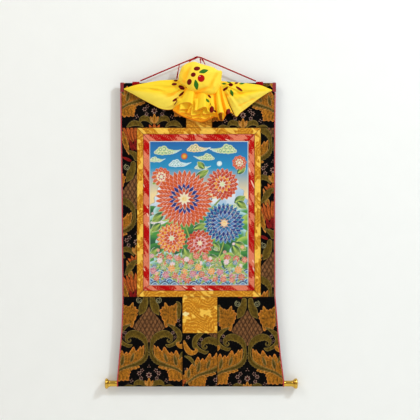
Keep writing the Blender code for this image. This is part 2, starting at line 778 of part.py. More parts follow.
def main():
    for old in list(bpy.data.objects):
        bpy.data.objects.remove(old)
    new_collection("thangka scroll")
    new_collection("joined shapes")
    build_top_panels()
    build_side_panels()
    build_bottom_panels()
    build_edge_bindings()
    build_picture()
    build_borders()
    build_batten()
    build_roller()
    build_lashings()
    build_cords()
    build_veil()


main()
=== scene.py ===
"""The looks of a thangka scroll: woven, painted, printed, turned and twisted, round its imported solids.

The picture faces -Y and the wall is behind it. Sizes below are in millimetres, and MM turns them into
metres. Patterns are drawn in millimetres too, as fields that are above zero inside a figure, kept on the
points of fine sheets and turned into yarn or paint by the materials.
"""

import functools
import math

import bmesh
import bpy
import numpy as np
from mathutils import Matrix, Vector


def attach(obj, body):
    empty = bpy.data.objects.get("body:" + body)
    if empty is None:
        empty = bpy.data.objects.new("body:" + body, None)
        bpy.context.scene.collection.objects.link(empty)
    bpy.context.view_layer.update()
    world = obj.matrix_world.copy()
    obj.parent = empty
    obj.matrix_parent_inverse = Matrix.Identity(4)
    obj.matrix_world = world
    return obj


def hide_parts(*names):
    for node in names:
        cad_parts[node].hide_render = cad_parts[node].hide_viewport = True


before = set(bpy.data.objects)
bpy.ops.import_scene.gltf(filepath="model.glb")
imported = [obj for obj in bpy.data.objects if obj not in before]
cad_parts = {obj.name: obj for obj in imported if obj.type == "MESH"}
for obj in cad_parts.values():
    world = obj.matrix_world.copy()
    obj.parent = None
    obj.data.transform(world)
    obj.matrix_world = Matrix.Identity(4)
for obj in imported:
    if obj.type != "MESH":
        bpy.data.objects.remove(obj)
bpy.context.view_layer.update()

bl_info = {
    "name": "Thangka Scroll",
    "version": (1, 0, 0),
    "blender": (4, 5, 0),
    "location": "3D View > Sidebar > Scroll",
    "description": "Dresses a hanging scroll painting with its cloth, cords, veil and brass",
    "category": "Object",
}

MM = 0.001
TO_MM = 1000.0
# A field's value well outside every figure
FAR = 1000.0

# The mount's own sizes, as its solids have them
GAP = 0.3
CLOTH = 1.6
BINDING_WIDTH = 4.4
TOP_SEAM, BOTTOM_SEAM, DOOR_BOTTOM = -290.3, -983.2, -1131.6
STRIP_LEFT, STRIP_RIGHT = -49.6, 56.6
DOOR_LEFT, DOOR_RIGHT = -64.8, 78.0
WAVE_DEPTH, WAVE_ACROSS, WAVE_DOWN, FINE_WAVE_DEPTH = 1.4, 74.0, 210.0, 0.25
EDGE_CURL, CURL_REACH = 2.2, 330.0
FREE_TOP, FREE_BOTTOM, FREE_FADE = -170.0, -1290.0, 130.0
FRAME_CENTRE = 2.5
PICTURE_HALF_WIDTH, PICTURE_TOP, PICTURE_BOTTOM = 202.5, -345.0, -935.2
PICTURE_HEIGHT = PICTURE_TOP - PICTURE_BOTTOM
CRIMSON_HALF_WIDTH, CRIMSON_TOP, CRIMSON_BOTTOM = 228.0, -316.2, -957.8
GOLD_HALF_WIDTH = 253.5
BATTEN_HEIGHT, BATTEN_THICKNESS = 30.0, 12.0
SLEEVE_TOP, SLEEVE_CORNER, SLEEVE_CORNER_STEPS = -105.4, 4.0, 8
TOP_HEM_LOOSE, TOP_HEM_SEWN, TOP_HEM_END = -160.0, -165.0, -176.0
ROLLER_RADIUS, ROLLER_Z = 11.0, -1339.0
ROLLER_WRAP, ROLLER_WRAP_STEPS = 1.12, 28
LOW_HEM_LOOSE, LOW_HEM_NEAR, LOW_HEM_SEWN, LOW_HEM_END = -1306.0, -1297.0, -1292.0, -1280.0
BATTEN_TOP = SLEEVE_TOP - CLOTH - GAP
BATTEN_BOTTOM = BATTEN_TOP - BATTEN_HEIGHT
SHEET_Y = -(BATTEN_THICKNESS / 2 + GAP + CLOTH / 2)
HEM_Y = SHEET_Y + CLOTH + GAP
ROLLER_Y = SHEET_Y + CLOTH / 2 + GAP + ROLLER_RADIUS
# The flat sheet starts under the batten's front corner and ends over the roller
FLAT_START = SLEEVE_TOP - CLOTH / 2 - SLEEVE_CORNER - 15.0
FLAT_END = ROLLER_Z + 10.0
COVER_WIDTH, COVER_HEIGHT, COVER_STANDOFF = 14.0, 38.0, 0.6
COVER_LEFT_END, COVER_RIGHT_END = -319.8, 318.6
KNOB_LEFT_LENGTH, KNOB_RIGHT_LENGTH = 50.5, 57.0

# Outer edges of the mount: height, left edge, right edge
EDGES = [
    (-105, -320, 317.5),
    (-290, -318, 315.7),
    (-600, -314, 315),
    (-980, -311, 316),
    (-1030, -311.6, 320.6),
    (-1127, -315.7, 328.8),
    (-1226, -324.6, 339),
    (-1308, -332.1, 349.3),
    (-1325, -333.3, 351.4),
    (-1352, -333.3, 351.4),
]

# Cord, lashings and ties, with the cord's route as x, y, z
CORD_DIAMETER, TIE_DIAMETER = 5.0, 3.2
# Twisted strands stand out past the round cord's mean diameter
FULLNESS = 1.22
LASHING_THICKNESS, LASHING_WIDTH, LASHING_HEIGHT = 4.5, 29.0, 33.0
LASHING_LEFT, LASHING_RIGHT = -255.5, 251.0
CORD_ROUTE = [
    (-238, 0, -97.6),
    (-210, -0.4, -85.8),
    (-160, -0.6, -64.4),
    (-110, -0.6, -43.2),
    (-60, -0.3, -22.2),
    (-24, 0, -7.6),
    (-9, 0, -1.8),
    (0, 0, 0),
    (9, 0, -2),
    (26, 0, -8.8),
    (70, -0.3, -27.6),
    (120, -0.6, -49),
    (170, -0.6, -70.4),
    (214, -0.4, -89.2),
    (236, 0, -98.4),
]

# Ties at the apex: x where each leaves the cord, share of the way round the puff where it ends
TIES = {"tie_left": (-12.0, 0.19), "tie_middle": (8.5, 0.29), "tie_right": (15.0, 0.322)}
# How far forward a tie's middle stands, as a share of its end, and its rise
TIE_BOW, DROP_TIE_BOW = (0.5, 2.0), (0.45, 1.0)
DROP_TIE_TOP_X, DROP_TIE_FOOT_X = -78.0, -88.0
# Thread wound round a cord: first and last share of its length, distance from its middle, thickness
WHIPPINGS = {
    "hang_cord": (0.4, 0.47, 3.8, 2.4),
    "tie_middle": (0.08, 0.5, 2.1, 2.2),
    "tie_right": (0.08, 0.5, 2.1, 2.2),
    "drop_tie": (0.56, 0.92, 2.0, 2.2),
}
LASHING_TURNS = 7

# Veil: wings as x, top, bottom, y
SILK = 2.0
LEFT_WING = [
    (-304, -129.5, -133.5, -13),
    (-269, -118, -152, -23),
    (-237, -110.5, -170.5, -26),
    (-187, -101, -197, -27),
    (-151, -95.5, -214, -27),
    (-116, -94, -217.5, -27),
    (-90, -93, -208, -28),
    (-62, -92, -176, -30),
    (-40, -96, -146, -32),
]
RIGHT_WING = [
    (302, -135, -139, -13),
    (283, -126.5, -149, -20),
    (261, -117.5, -163, -24),
    (234, -112, -182, -26),
    (202, -108, -207.5, -27),
    (173, -105, -230, -27),
    (155, -103.5, -245.5, -27),
    (137, -102, -214, -28),
    (112, -100, -168, -29),
    (84, -98, -130, -32),
]
WING_NOSE, WING_ROLLED_SHARE, WING_BULGE, WING_LEAN = 7.0, 0.14, 5.0, 4.0
WING_BULGE_HEIGHT, WING_FOLD_HEIGHT = 80.0, 60.0
# Folds as x0, z0, x1, z1, width, rise
WING_FOLDS = [
    (-290, -127, -150, -112, 9, 5),
    (-212, -131, -140, -143, 5, -5),
    (-230, -128, -150, -131, 6, 4),
    (-250, -150, -100, -185, 26, 6),
    (-160, -152, -90, -158, 10, -5),
    (-128, -206, -96, -192, 6, 5),
    (110, -130, 250, -130, 15, 7),
    (105, -160, 268, -139, 6, -6),
    (120, -176, 240, -152, 14, 5),
    (150, -209, 250, -161, 4, -3),
]
PUFF_CENTRE = (7.0, -84.0)
PUFF_RIM_Y, PUFF_FRONT_DEPTH, PUFF_BACK_DEPTH = -42.0, 38.0, 27.0
PUFF_EDGE_ANGLE, PUFF_BACK_ANGLE, PUFF_TOP_ANGLE = 90.0, 128.0, 88.0
PUFF_FULLNESS, PUFF_FOLD_FADE = 0.8, 40.0
# The puff's outline from the front as x, z
PUFF_OUTLINE = [
    (-80, -83),
    (-75, -64),
    (-68, -45),
    (-55, -33.5),
    (-37, -25),
    (-15, -21.5),
    (8, -29.5),
    (34, -37),
    (63, -45),
    (79, -56),
    (97, -61),
    (95, -88),
    (93, -117),
    (82, -133),
    (71, -150),
    (49, -157),
    (20, -150),
    (-9, -146),
    (-31, -142),
    (-52, -123),
    (-74, -108),
]
PUFF_FOLDS = [
    (80, -66, 66, -90, 7, -6),
    (66, -90, 47, -127, 7, -9),
    (47, -127, 5, -140, 6, -8),
    (-33, -43, -56, -92, 8, -8),
    (-24, -42, -38, -80, 7, 4),
    (-70, -100, -52, -109, 5, -5),
    (60, -110, 76, -140, 8, 5),
]
# The fall's pleats: x, y, z where each is gathered, then x, y, z at its hem
FALL = [
    (58, -24, -128, 78, -25, -240),
    (34, -22, -128, 50, -22, -255),
    (12, -21, -126, 14, -21, -268),
    (-10, -21, -122, -24, -21, -259),
    (-26, -23, -118, -62, -23, -246),
    (-36, -26, -114, -92, -27, -229),
    (-43, -31, -112, -104, -35, -218),
    (-40, -37, -114, -90, -46, -205),
    (-34, -41, -118, -70, -58, -194),
    (-28, -44, -122, -48, -69, -190),
    (-22, -46, -126, -32, -73, -193),
    (-17, -45, -128, -23, -67, -202),
    (-13, -43, -130, -28, -58, -212),
    (-9, -41, -131, -42, -52, -221),
    (-5, -39, -132, -47, -44, -231),
    (0, -39, -133, -34, -40, -233),
    (7, -42, -134, -14, -50, -226),
    (15, -45, -134, 6, -66, -216),
    (23, -46, -134, 24, -72, -209),
    (31, -44, -134, 35, -66, -213),
    (37, -41, -134, 37, -56, -223),
    (43, -39, -134, 45, -52, -231),
    (50, -38, -133, 60, -56, -231),
    (57, -37, -132, 72, -50, -238),
    (62, -36, -131, 79, -40, -250),
    (66, -36, -130, 88, -38, -264),
    (70, -38, -129, 80, -53, -248),
    (73.5, -40, -128, 84, -69, -235),
    (77, -41, -127, 94, -74, -232),
    (80.5, -40, -126, 103, -69, -234),
    (83.5, -38, -125, 108, -56, -243),
    (86, -36, -124, 100, -44, -264),
    (88.5, -34.5, -123, 107, -35, -252),
    (91, -34, -122, 115, -43, -238),
    (93, -34, -121, 123, -50, -235),
    (95, -33, -120, 132, -45, -230),
    (96.5, -32, -119, 140, -40, -233),
    (98, -30, -118, 151, -37, -251),
]
FALL_FLARE = 1.25
FALL_BULGE, FALL_FRONT_Y, FALL_FRONT_FADE = 5.0, -28.0, 20.0

# Brocade repeat: its width mirrors about an axis, and its height runs down from the small scroll
REPEAT_WIDTH, REPEAT_HEIGHT = 402.0, 615.0
# Where each panel's cloth was cut from the repeat: x of its axis, z of the small scroll
CUTS = {
    "brocade_top_left": (-180.0, 92.0),
    "brocade_top_right": (183.0, 74.0),
    "brocade_side_left": (-253.4, -445.0),
    "brocade_side_right": (306.0, -765.0),
    "brocade_low_left": (-202.0, -990.0),
    "brocade_low_middle": (110.0, -1017.0),
    "brocade_low_right": (201.0, -1004.5),
}
LATTICE = {"apex": 33.0, "corner": (68.0, 117.0), "foot": 180.0, "cell": (17.0, 31.5), "line": 1.5}
# Curved figures: yarn, depth of the teeth on one side (below zero for the other side), then rows of
# distance from the axis, distance down, half width
CURLS = [
    ("olive", 0, [(114, 14, 3), (124, 24, 7), (123, 48, 8.5), (122, 80, 5)]),
    ("olive", 0, [(13, -8, 10), (15, 8, 12), (18, 20, 14.5), (24, 33, 16.5), (28, 46, 14.5), (35, 58, 7),
                  (40, 66, 2)]),
    ("olive", 4, [(10, 204, 7), (12, 190, 8), (17, 174, 11), (27, 160, 13.5), (41, 151, 15), (58, 145, 15.5),
                  (74, 146, 14), (86, 153, 11), (92, 163, 8.5), (89, 173, 6), (82, 177, 4.5), (76, 172, 3.5),
                  (78, 166, 2)]),
    ("olive", 0, [(78, 107, 2.5), (93, 114, 5.5), (107, 124, 9), (120, 137, 11), (125, 153, 10.5),
                  (122, 169, 10.5), (110, 181, 8.5), (95, 189, 7), (81, 194, 7), (70, 190, 3)]),
    ("gold", 0, [(168, 148, 4), (158, 176, 10), (144, 193, 11), (127, 195, 8), (117, 185, 6), (122, 179, 3)]),
    ("olive", 2, [(164, 209, 3), (148, 215, 7), (135, 228, 7), (125, 246, 2)]),
    ("olive", 0, [(12, 366, 3), (20, 352, 8), (36, 343, 11), (52, 346, 9), (60, 358, 3)]),
    ("olive", 0, [(48, 377, 3), (64, 366, 9), (88, 364, 11), (110, 378, 4)]),
    ("olive", 2, [(2, 392, 5), (16, 404, 12), (30, 424, 12), (46, 448, 3)]),
    ("olive", 0, [(34, 555, 2), (20, 562, 8), (6, 572, 11), (2, 590, 6)]),
]
# Pointed fingers of the gold leaves: foot across and down, tip across and down, half width, lobes
LEAF_FINGERS = [
    (84, 62, 42, 47, 15, 1),
    (84, 58, 53, 34, 12, 1),
    (76, 50, 65, 15, 8, 1),
    (84, 50, 80, 30, 9, 1),
    (90, 54, 95, 27, 10, 1),
    (98, 62, 117, 14, 13, 2),
    (90, 66, 122, 60, 12, 1),
    (88, 72, 114, 99, 14, 1),
    (88, 76, 103, 121, 13, 1),
    (82, 76, 84, 112, 12, 1),
    (80, 74, 69, 119, 14, 1),
    (76, 70, 54, 86, 13, 1),
    (76, 66, 46, 66, 13, 1),
    (38, 246, 21, 190, 10, 1),
    (44, 248, 35, 194, 9, 1),
    (54, 254, 44, 208, 12, 1),
    (70, 262, 63, 197, 17, 2),
    (86, 266, 79, 220, 13, 1),
    (104, 276, 91, 217, 13, 1),
    (116, 280, 111, 211, 17, 2),
    (134, 286, 133, 238, 15, 1),
    (152, 302, 156, 256, 14, 2),
    (166, 316, 174, 286, 12, 1),
    (60, 276, 37, 281, 7, 1),
    (72, 278, 50, 288, 7, 1),
    (86, 282, 68, 292, 8, 1),
    (104, 296, 74, 303, 12, 1),
    (104, 304, 79, 318, 13, 1),
    (108, 306, 83, 336, 14, 1),
    (114, 306, 103, 338, 14, 1),
    (124, 308, 122, 340, 14, 1),
    (136, 306, 142, 336, 13, 1),
]
# Petals of the blossoms: yarn, then the same
PETALS = [
    ("olive", 74, 258, 62, 224, 5, 1),
    ("olive", 112, 272, 104, 232, 6, 1),
    ("olive", 150, 296, 148, 262, 5, 1),
    ("rust", 190, 326, 158, 306, 10, 1),
    ("rust", 192, 322, 168, 338, 9, 1),
    ("rust", 2, 404, 36, 380, 8, 1),
    ("rust", 0, 406, 22, 368, 8, 1),
    ("rust", 0, 406, 2, 366, 8, 1),
    ("gold", 14, 480, 40, 388, 11, 2),
    ("rust", 26, 520, 58, 450, 9, 1),
    ("rust", 16, 518, 42, 446, 8, 1),
    ("rust", 8, 516, 24, 442, 8, 1),
    ("rust", 0, 514, 4, 438, 8, 1),
    ("gold", 58, 478, 30, 572, 12, 3),
    ("red", 14, 552, 26, 512, 8, 1),
    ("red", 2, 550, 4, 508, 9, 1),
    ("red", 22, 596, 58, 580, 6, 1),
]
LEAF_HEART = {"centre": (86.0, 68.0), "radii": (36.0, 36.0), "teeth": 2.9, "depth": 4.0}
# Ribbons of the long leaf: distance from the axis, distance down, half width
LEAF_BODY = [(26, 232, 6), (42, 246, 13), (64, 256, 17), (92, 266, 19), (118, 282, 17), (142, 298, 12),
             (160, 312, 5)]
LEAF_FOOT = [(104, 298, 10), (116, 310, 16), (134, 316, 9)]
LEAF_RIB = [(9, 202, 6), (8, 222, 8), (16, 244, 10), (34, 261, 10), (58, 271, 8), (84, 279, 6), (112, 289, 5),
            (138, 306, 4), (160, 322, 2)]
LEAF_BODY_MIDDLE, LEAF_RIB_MIDDLE = 270.0, 260.0
# Small sprigs of blossom: across, down, radius, petals
SPRIGS = [
    (0, 278, 8, 3),
    (28, 294, 9, 5),
    (40, 306, 10, 6),
    (0, 313, 13, 7),
    (32, 326, 9, 6),
    (72, 336, 9, 4),
    (83, 348, 5, 3),
    (98, 140, 8, 6),
    (108, 157, 6, 5),
    (101, 165, 5, 4),
    (121, 90, 8, 5),
    (127, 109, 6, 5),
    (152, 132, 9, 5),
    (162, 262, 7, 4),
]
SMALL_SCROLL = {"centre": (39.0, 7.0), "radius": 13.0, "turns": 1.8, "half": (1.2, 0.9), "spans": 13}
# The flower over the leaf pairs, laid last: foot across and down, tip across and down, half width
TULIP = [(3, 362, 17, 335, 7.5), (1, 364, 12, 345, 5.5), (0, 362, 0, 324, 7.5)]
# Half width of the dark line round a figure
OUTLINE = 1.1

# Grid steps of the fine sheets
PANEL_STEP, BORDER_STEP, PICTURE_STEP, BINDING_STEP = 1.8, 1.9, 1.62, 2.5
# Grids of the veil's parts and of the covers: columns, rows
WING_GRID, FALL_GRID, PUFF_GRID, RUFFLE_GRID = (150, 80), (460, 44), (170, 80), (190, 14)
COVER_GRID, BINDING_COLUMNS = (12, 56), 12
ALL_SIDES = ("left", "right", "top", "bottom")


def linear(red, green, blue):
    """A screen colour, 0 to 255, as Blender's linear colour."""
    parts = [part / 255 for part in (red, green, blue)]
    return tuple(p / 12.92 if p <= 0.04045 else ((p + 0.055) / 1.055) ** 2.4 for p in parts)


# Settings


def colour_setting(name, description, screen):
    """A colour that the sidebar can change, from a screen colour."""
    return bpy.props.FloatVectorProperty(
        name=name, description=description, subtype="COLOR", size=3, min=0.0, max=1.0, default=linear(*screen)
    )


def number_setting(name, description, default, unit="NONE"):
    """A number that the sidebar can change."""
    return bpy.props.FloatProperty(name=name, description=description, default=default, unit=unit)


class BrocadeSettings(bpy.types.PropertyGroup):
    """Yarns of the black brocade and its binding"""

    ground: colour_setting("Ground", "Black warp of the mount", (2, 1, 1))
    olive: colour_setting("Olive", "Yarn of the scrolls", (96, 74, 18))
    gold: colour_setting("Gold", "Yarn of the big leaves", (176, 110, 26))
    rust: colour_setting("Rust", "Yarn of the blossoms", (198, 94, 34))
    red: colour_setting("Red", "Yarn of the inner petals", (132, 20, 16))
    pink: colour_setting("Pink", "Yarn of the sprigs", (158, 122, 108))
    lattice: colour_setting("Lattice", "Yarn of the lattice's cells", (116, 76, 44))
    pale: colour_setting("Pale", "Thin lines of the small scrolls", (150, 142, 104))
    binding: colour_setting("Binding", "Red cotton of the side edges", (190, 30, 44))
    pitch: number_setting("Thread pitch", "Distance between threads", 0.0008, "LENGTH")


class BorderSettings(bpy.types.PropertyGroup):
    """Satins of the two borders"""

    gold: colour_setting("Gold", "Satin of the outer border", (214, 146, 26))
    # Painted sheen: the colour of the gold satin's patches that catch the light
    gold_light: colour_setting("Light gold", "Lit figures of the gold satin", (255, 204, 80))
    gold_dark: colour_setting("Dark gold", "Hollows of the gold satin's scrolls", (190, 116, 4))
    # Colour of the palest patch on the gold door
    gold_pale: colour_setting("Pale gold", "Palest figure of the gold door", (250, 232, 160))
    crimson: colour_setting("Crimson", "Satin of the inner border", (186, 0, 3))
    salmon: colour_setting("Salmon", "Cloud figures of the crimson satin", (248, 160, 122))
    salmon_dark: colour_setting("Dark salmon", "Hatching of the cloud figures", (212, 84, 60))
    petal: colour_setting("Petal", "Pale petals of the crimson satin", (248, 192, 168))


class VeilSettings(bpy.types.PropertyGroup):
    """Silk of the veil and its print"""

    silk: colour_setting("Silk", "Yellow of the veil", (250, 214, 44))
    pale: colour_setting("Pale", "Lower parts of the wings", (240, 224, 104))
    # Painted shade: the orange laid in the veil's folds and hollows
    shade: colour_setting("Shade", "Orange in the veil's folds", (250, 164, 14))
    maroon: colour_setting("Maroon", "Dark berries", (112, 0, 0))
    berry: colour_setting("Red", "Light berries", (180, 0, 4))
    leaf: colour_setting("Green", "Printed leaves", (44, 112, 24))


class HardwareSettings(bpy.types.PropertyGroup):
    """Brass, wood and cord"""

    brass: colour_setting("Brass", "Polished knobs", (222, 178, 74))
    wood: colour_setting("Wood", "Batten and roller", (166, 124, 78))
    cord: colour_setting("Cord", "Red silk of the cord", (168, 0, 16))


class StageSettings(bpy.types.PropertyGroup):
    """Camera and light"""

    distance: number_setting("Camera distance", "From the camera to the scroll", 9.0, "LENGTH")
    frame_width: number_setting("Frame width", "Width of the view at the scroll", 1.722, "LENGTH")
    key: number_setting("Key light", "Power of the key light in watts", 106.0)
    fill: number_setting("Fill light", "Power of each soft light in watts", 90.0)
    sky: number_setting("Surround", "Strength of the surrounding light", 0.42)


# Shader nodes


class Value:
    """A shader number: Python arithmetic on it adds its Math nodes."""

    def __init__(self, finish, socket):
        self.finish = finish
        self.socket = socket

    def math(self, operation, *others, flip=False):
        """One Math node on this number and others, which come first where flip is set."""
        sides = [*others, self] if flip else [self, *others]
        made = self.finish.node("Math", {"operation": operation}, dict(enumerate(sides)))
        return Value(self.finish, made.outputs[0])

    def __add__(self, other):
        return self.math("ADD", other)

    def __sub__(self, other):
        return self.math("SUBTRACT", other)

    def __mul__(self, other):
        return self.math("MULTIPLY", other)

    def __truediv__(self, other):
        return self.math("DIVIDE", other)

    def __radd__(self, other):
        return self.math("ADD", other, flip=True)

    def __rsub__(self, other):
        return self.math("SUBTRACT", other, flip=True)

    def __rmul__(self, other):
        return self.math("MULTIPLY", other, flip=True)

    def step(self, low, high):
        """0 below low, 1 above high, and smooth between."""
        made = self.finish.node(
            "MapRange",
            {"interpolation_type": "SMOOTHSTEP"},
            {"Value": self, "From Min": low, "From Max": high},
        )
        return Value(self.finish, made.outputs[0])

    def inside(self, soft=0.5):
        """1 where a figure's field, in millimetres, is above zero."""
        return self.step(-soft, soft)


class Finish:
    """A procedural material and the calls that build its nodes."""

    def __init__(self, name):
        self.material = bpy.data.materials.new(name)
        self.material.use_nodes = True
        self.tree = self.material.node_tree
        self.shader = self.tree.nodes["Principled BSDF"]
        self.output = self.tree.nodes["Material Output"]

    def plug(self, value, socket):
        """Links a number or another node to a socket, or sets the socket to a plain value."""
        if isinstance(value, Value):
            value = value.socket
        if isinstance(value, bpy.types.NodeSocket):
            self.tree.links.new(value, socket)
        elif socket.type == "RGBA" and len(value) == 3:
            socket.default_value = (*value, 1.0)
        else:
            socket.default_value = value

    def node(self, kind, settings=None, sockets=None):
        """A new node with its settings, and what its sockets are set or linked to."""
        made = self.tree.nodes.new(f"ShaderNode{kind}")
        for key, value in (settings or {}).items():
            setattr(made, key, value)
        for key, value in (sockets or {}).items():
            self.plug(value, made.inputs[key])
        return made

    def field(self, name):
        """A number kept on the points of the mesh."""
        made = self.node("Attribute", {"attribute_name": name})
        return Value(self, made.outputs["Fac"])

    def colours(self, name):
        """A colour kept on the points of the mesh."""
        return self.node("Attribute", {"attribute_name": name}).outputs["Color"]

    def mix(self, mask, under, over):
        """One colour laid over another where the mask is 1."""
        sockets = {0: mask, 6: under, 7: over}
        return self.node("Mix", {"data_type": "RGBA"}, sockets).outputs[2]

    def tone(self, colour, level):
        """A colour made darker or brighter by a number."""
        grey = self.node("CombineColor", None, {0: level, 1: level, 2: level}).outputs[0]
        settings = {"data_type": "RGBA", "blend_type": "MULTIPLY"}
        return self.node("Mix", settings, {0: 1.0, 6: colour, 7: grey}).outputs[2]

    def place(self):
        """The object's own x, y and z in millimetres."""
        spot = self.node("TexCoord").outputs["Object"]
        parts = self.node("SeparateXYZ", None, {0: spot})
        return [Value(self, parts.outputs[i]) * TO_MM for i in range(3)]

    def noise(self, scale, detail=2.0, stretch=(1.0, 1.0, 1.0)):
        """Noise from 0 to 1, with scale figures to a metre, denser along an axis whose stretch is large."""
        spot = self.node("TexCoord").outputs["Object"]
        spread = self.node("VectorMath", {"operation": "MULTIPLY"}, {0: spot, 1: stretch}).outputs[0]
        made = self.node("TexNoise", None, {"Vector": spread, "Scale": scale, "Detail": detail})
        return Value(self, made.outputs["Fac"])

    def bump(self, height, depth, strength=1.0):
        """Raises the surface by height times depth millimetres."""
        made = self.node("Bump", None, {"Height": height, "Distance": depth * MM, "Strength": strength})
        self.plug(made.outputs[0], self.shader.inputs["Normal"])

    def set(self, **sockets):
        """Sets the shader's sockets by their names in lower case, and gives the material."""
        for key, value in sockets.items():
            self.plug(value, self.shader.inputs[key.replace("_", " ").title().replace("Ior", "IOR")])
        return self.material


def weave_height(across, down, pitch):
    """Plain weave: threads that cross over and under at an even pitch."""
    warp = (across * (math.pi / pitch)).math("SINE")
    weft = (down * (math.pi / pitch)).math("SINE")
    return (warp * weft) * 0.5 + 0.5


def reverse_side(finish, front, back):
    """The cloth's colour on its face, and another on its reverse."""
    behind = finish.node("NewGeometry").outputs["Backfacing"]
    return finish.mix(behind, front, back)


# Meshes


def move_in(made, mesh_finish, nodes):
    """Gives a piece its material, places it on the scroll's body and lets it stand for its solids."""
    if mesh_finish is not None:
        made.data.materials.append(mesh_finish)
    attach(made, "root")
    if nodes:
        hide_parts(*nodes)
    return made


def new_piece(name, mesh):
    """An object of a mesh, in the scene."""
    made = bpy.data.objects.new(name, mesh)
    bpy.context.scene.collection.objects.link(made)
    return made


def grid(name, columns, rows, place):
    """A fine sheet: place(across, down) gives its points, then its fields by name."""
    bm = bmesh.new()
    bmesh.ops.create_grid(bm, x_segments=columns, y_segments=rows, size=0.5)
    mesh = bpy.data.meshes.new(name)
    bm.to_mesh(mesh)
    bm.free()
    flat = np.empty(len(mesh.vertices) * 3, dtype=np.float32)
    mesh.vertices.foreach_get("co", flat)
    spots = flat.reshape(-1, 3).astype(float)
    points, fields = place(spots[:, 0] + 0.5, 0.5 - spots[:, 1])
    mesh.vertices.foreach_set("co", (np.stack(points, 1) * MM).astype(np.float32).ravel())
    mesh.shade_smooth()
    for key, values in fields.items():
        add_field(mesh, key, values)
    mesh.update()
    return new_piece(name, mesh)


def add_field(mesh, key, values):
    """A number, or a colour of three, on each point of a mesh."""
    if values.ndim == 1:
        made = mesh.attributes.new(key, "FLOAT", "POINT")
        made.data.foreach_set("value", values.astype(np.float32))
        return
    made = mesh.attributes.new(key, "FLOAT_COLOR", "POINT")
    full = np.ones((len(values), 4), dtype=np.float32)
    full[:, :3] = values
    made.data.foreach_set("color", full.ravel())


def smooth_step(t):
    """0 below 0, 1 above 1, and smooth between."""
    t = np.clip(t, 0.0, 1.0)
    return t * t * (3 - 2 * t)


def bell(distance, width):
    """1 in the middle, falling off smoothly within about a width."""
    return np.exp(-((distance / width) ** 2))


def run_along(path):
    """How far along a path each of its points lies."""
    steps = [math.dist(a, b) for a, b in zip(path, path[1:])]
    return np.concatenate([[0.0], np.cumsum(steps)])


def along(rows, t, closed=False):
    """The point at share t of a smooth curve through the rows, which may be a closed ring."""
    count = len(rows)
    spans = count if closed else count - 1
    place = min(max(t, 0.0), 1.0) * spans
    i = min(int(place), spans - 1)
    f = place - i

    def row(k):
        return rows[k % count] if closed else rows[min(max(k, 0), count - 1)]

    before, start, end, after = row(i - 1), row(i), row(i + 1), row(i + 2)
    return [
        0.5
        * (2 * b + (c - a) * f + (2 * a - 5 * b + 4 * c - d) * f * f + (3 * b - a - 3 * c + d) * f**3)
        for a, b, c, d in zip(before, start, end, after)
    ]


def rope(path, diameter, strands=3, lay=2.6, sides=15, depth=0.16, spacing=0.3):
    """Rings of points and faces of a twisted cord along a path, in millimetres."""
    run = run_along(path)
    count = max(8, round(run[-1] / (diameter * spacing)))
    marks = np.linspace(0.0, run[-1], count + 1)
    line = np.stack([np.interp(marks, run, [p[i] for p in path]) for i in range(3)], 1)
    ahead = np.gradient(line, axis=0)
    ahead /= np.linalg.norm(ahead, axis=1)[:, None]
    hint = np.array([0.0, 1.0, 0.0]) if abs(ahead[0][1]) < 0.9 else np.array([1.0, 0.0, 0.0])
    points = []
    for spot, way, mark in zip(line, ahead, marks):
        side = np.cross(way, hint)
        side /= np.linalg.norm(side)
        hint = np.cross(side, way)
        turn = mark / (lay * diameter) * math.tau / strands
        for k in range(sides):
            angle = k / sides * math.tau
            lobe = abs(math.cos((angle - turn) * strands / 2))
            radius = diameter / 2 * (1 - depth + depth * lobe)
            points.append(spot + radius * (math.cos(angle) * side + math.sin(angle) * hint))
    faces = []
    for i in range(count):
        for k in range(sides):
            a, b = i * sides + k, i * sides + (k + 1) % sides
            faces.append((a, b, b + sides, a + sides))
    faces.append(tuple(range(sides))[::-1])
    faces.append(tuple(count * sides + k for k in range(sides)))
    return points, faces


def whipping(path, first, last, reach, diameter):
    """Close turns of thread round a path, between two shares of it."""
    turns = max(2, round(math.dist(along(path, first), along(path, last)) / diameter))
    deep = Vector((0.0, 1.0, 0.0))
    count = turns * 14
    points = []
    for i in range(count + 1):
        share = first + (last - first) * (i / count)
        middle = Vector(along(path, share))
        ahead = Vector(along(path, min(1.0, share + 0.01))) - middle
        side = ahead.cross(deep).normalized()
        turn = i / count * turns * math.tau
        points.append(tuple(middle + reach * (math.cos(turn) * side + math.sin(turn) * deep)))
    return rope(points, diameter, sides=8, depth=0.05, spacing=0.5)


def joined_mesh(name, parts):
    """One mesh of several (points, faces) in millimetres."""
    points, faces = [], []
    for more_points, more_faces in parts:
        start = len(points)
        points += [tuple(float(c) * MM for c in p) for p in more_points]
        faces += [tuple(i + start for i in f) for f in more_faces]
    mesh = bpy.data.meshes.new(name)
    mesh.from_pydata(points, [], faces)
    mesh.validate()
    mesh.shade_smooth()
    return mesh


# The mount's form


def edge(column, z, inset):
    """x of the mount's left edge, column 1, or right edge, column 2, at a height."""
    heights = [row[0] for row in EDGES][::-1]
    values = [row[column] for row in EDGES][::-1]
    return np.interp(z, heights, values) + inset


def cloth_left(z):
    """Where the brocade starts, inside its left binding."""
    return edge(1, z, BINDING_WIDTH)


def cloth_right(z):
    """Where the brocade ends, inside its right binding."""
    return edge(2, z, -BINDING_WIDTH)


def fixed(x):
    """An upright edge at x."""
    return lambda z: np.full(np.shape(z), x)


def hang(x, z):
    """How far the mount stands out of its plane: soft waves, and side edges that curl forward."""
    free = smooth_step((FREE_TOP - z) / FREE_FADE) * smooth_step((z - FREE_BOTTOM) / FREE_FADE)
    wave = WAVE_DEPTH * np.sin(x / WAVE_ACROSS + 0.7) * np.sin(z / WAVE_DOWN + 0.4)
    fine = FINE_WAVE_DEPTH * np.sin(x / 23.0 + z / 61.0) * np.sin(z / 37.0 - x / 90.0)
    return free * (wave + fine - EDGE_CURL * np.abs(x / CURL_REACH) ** 6)


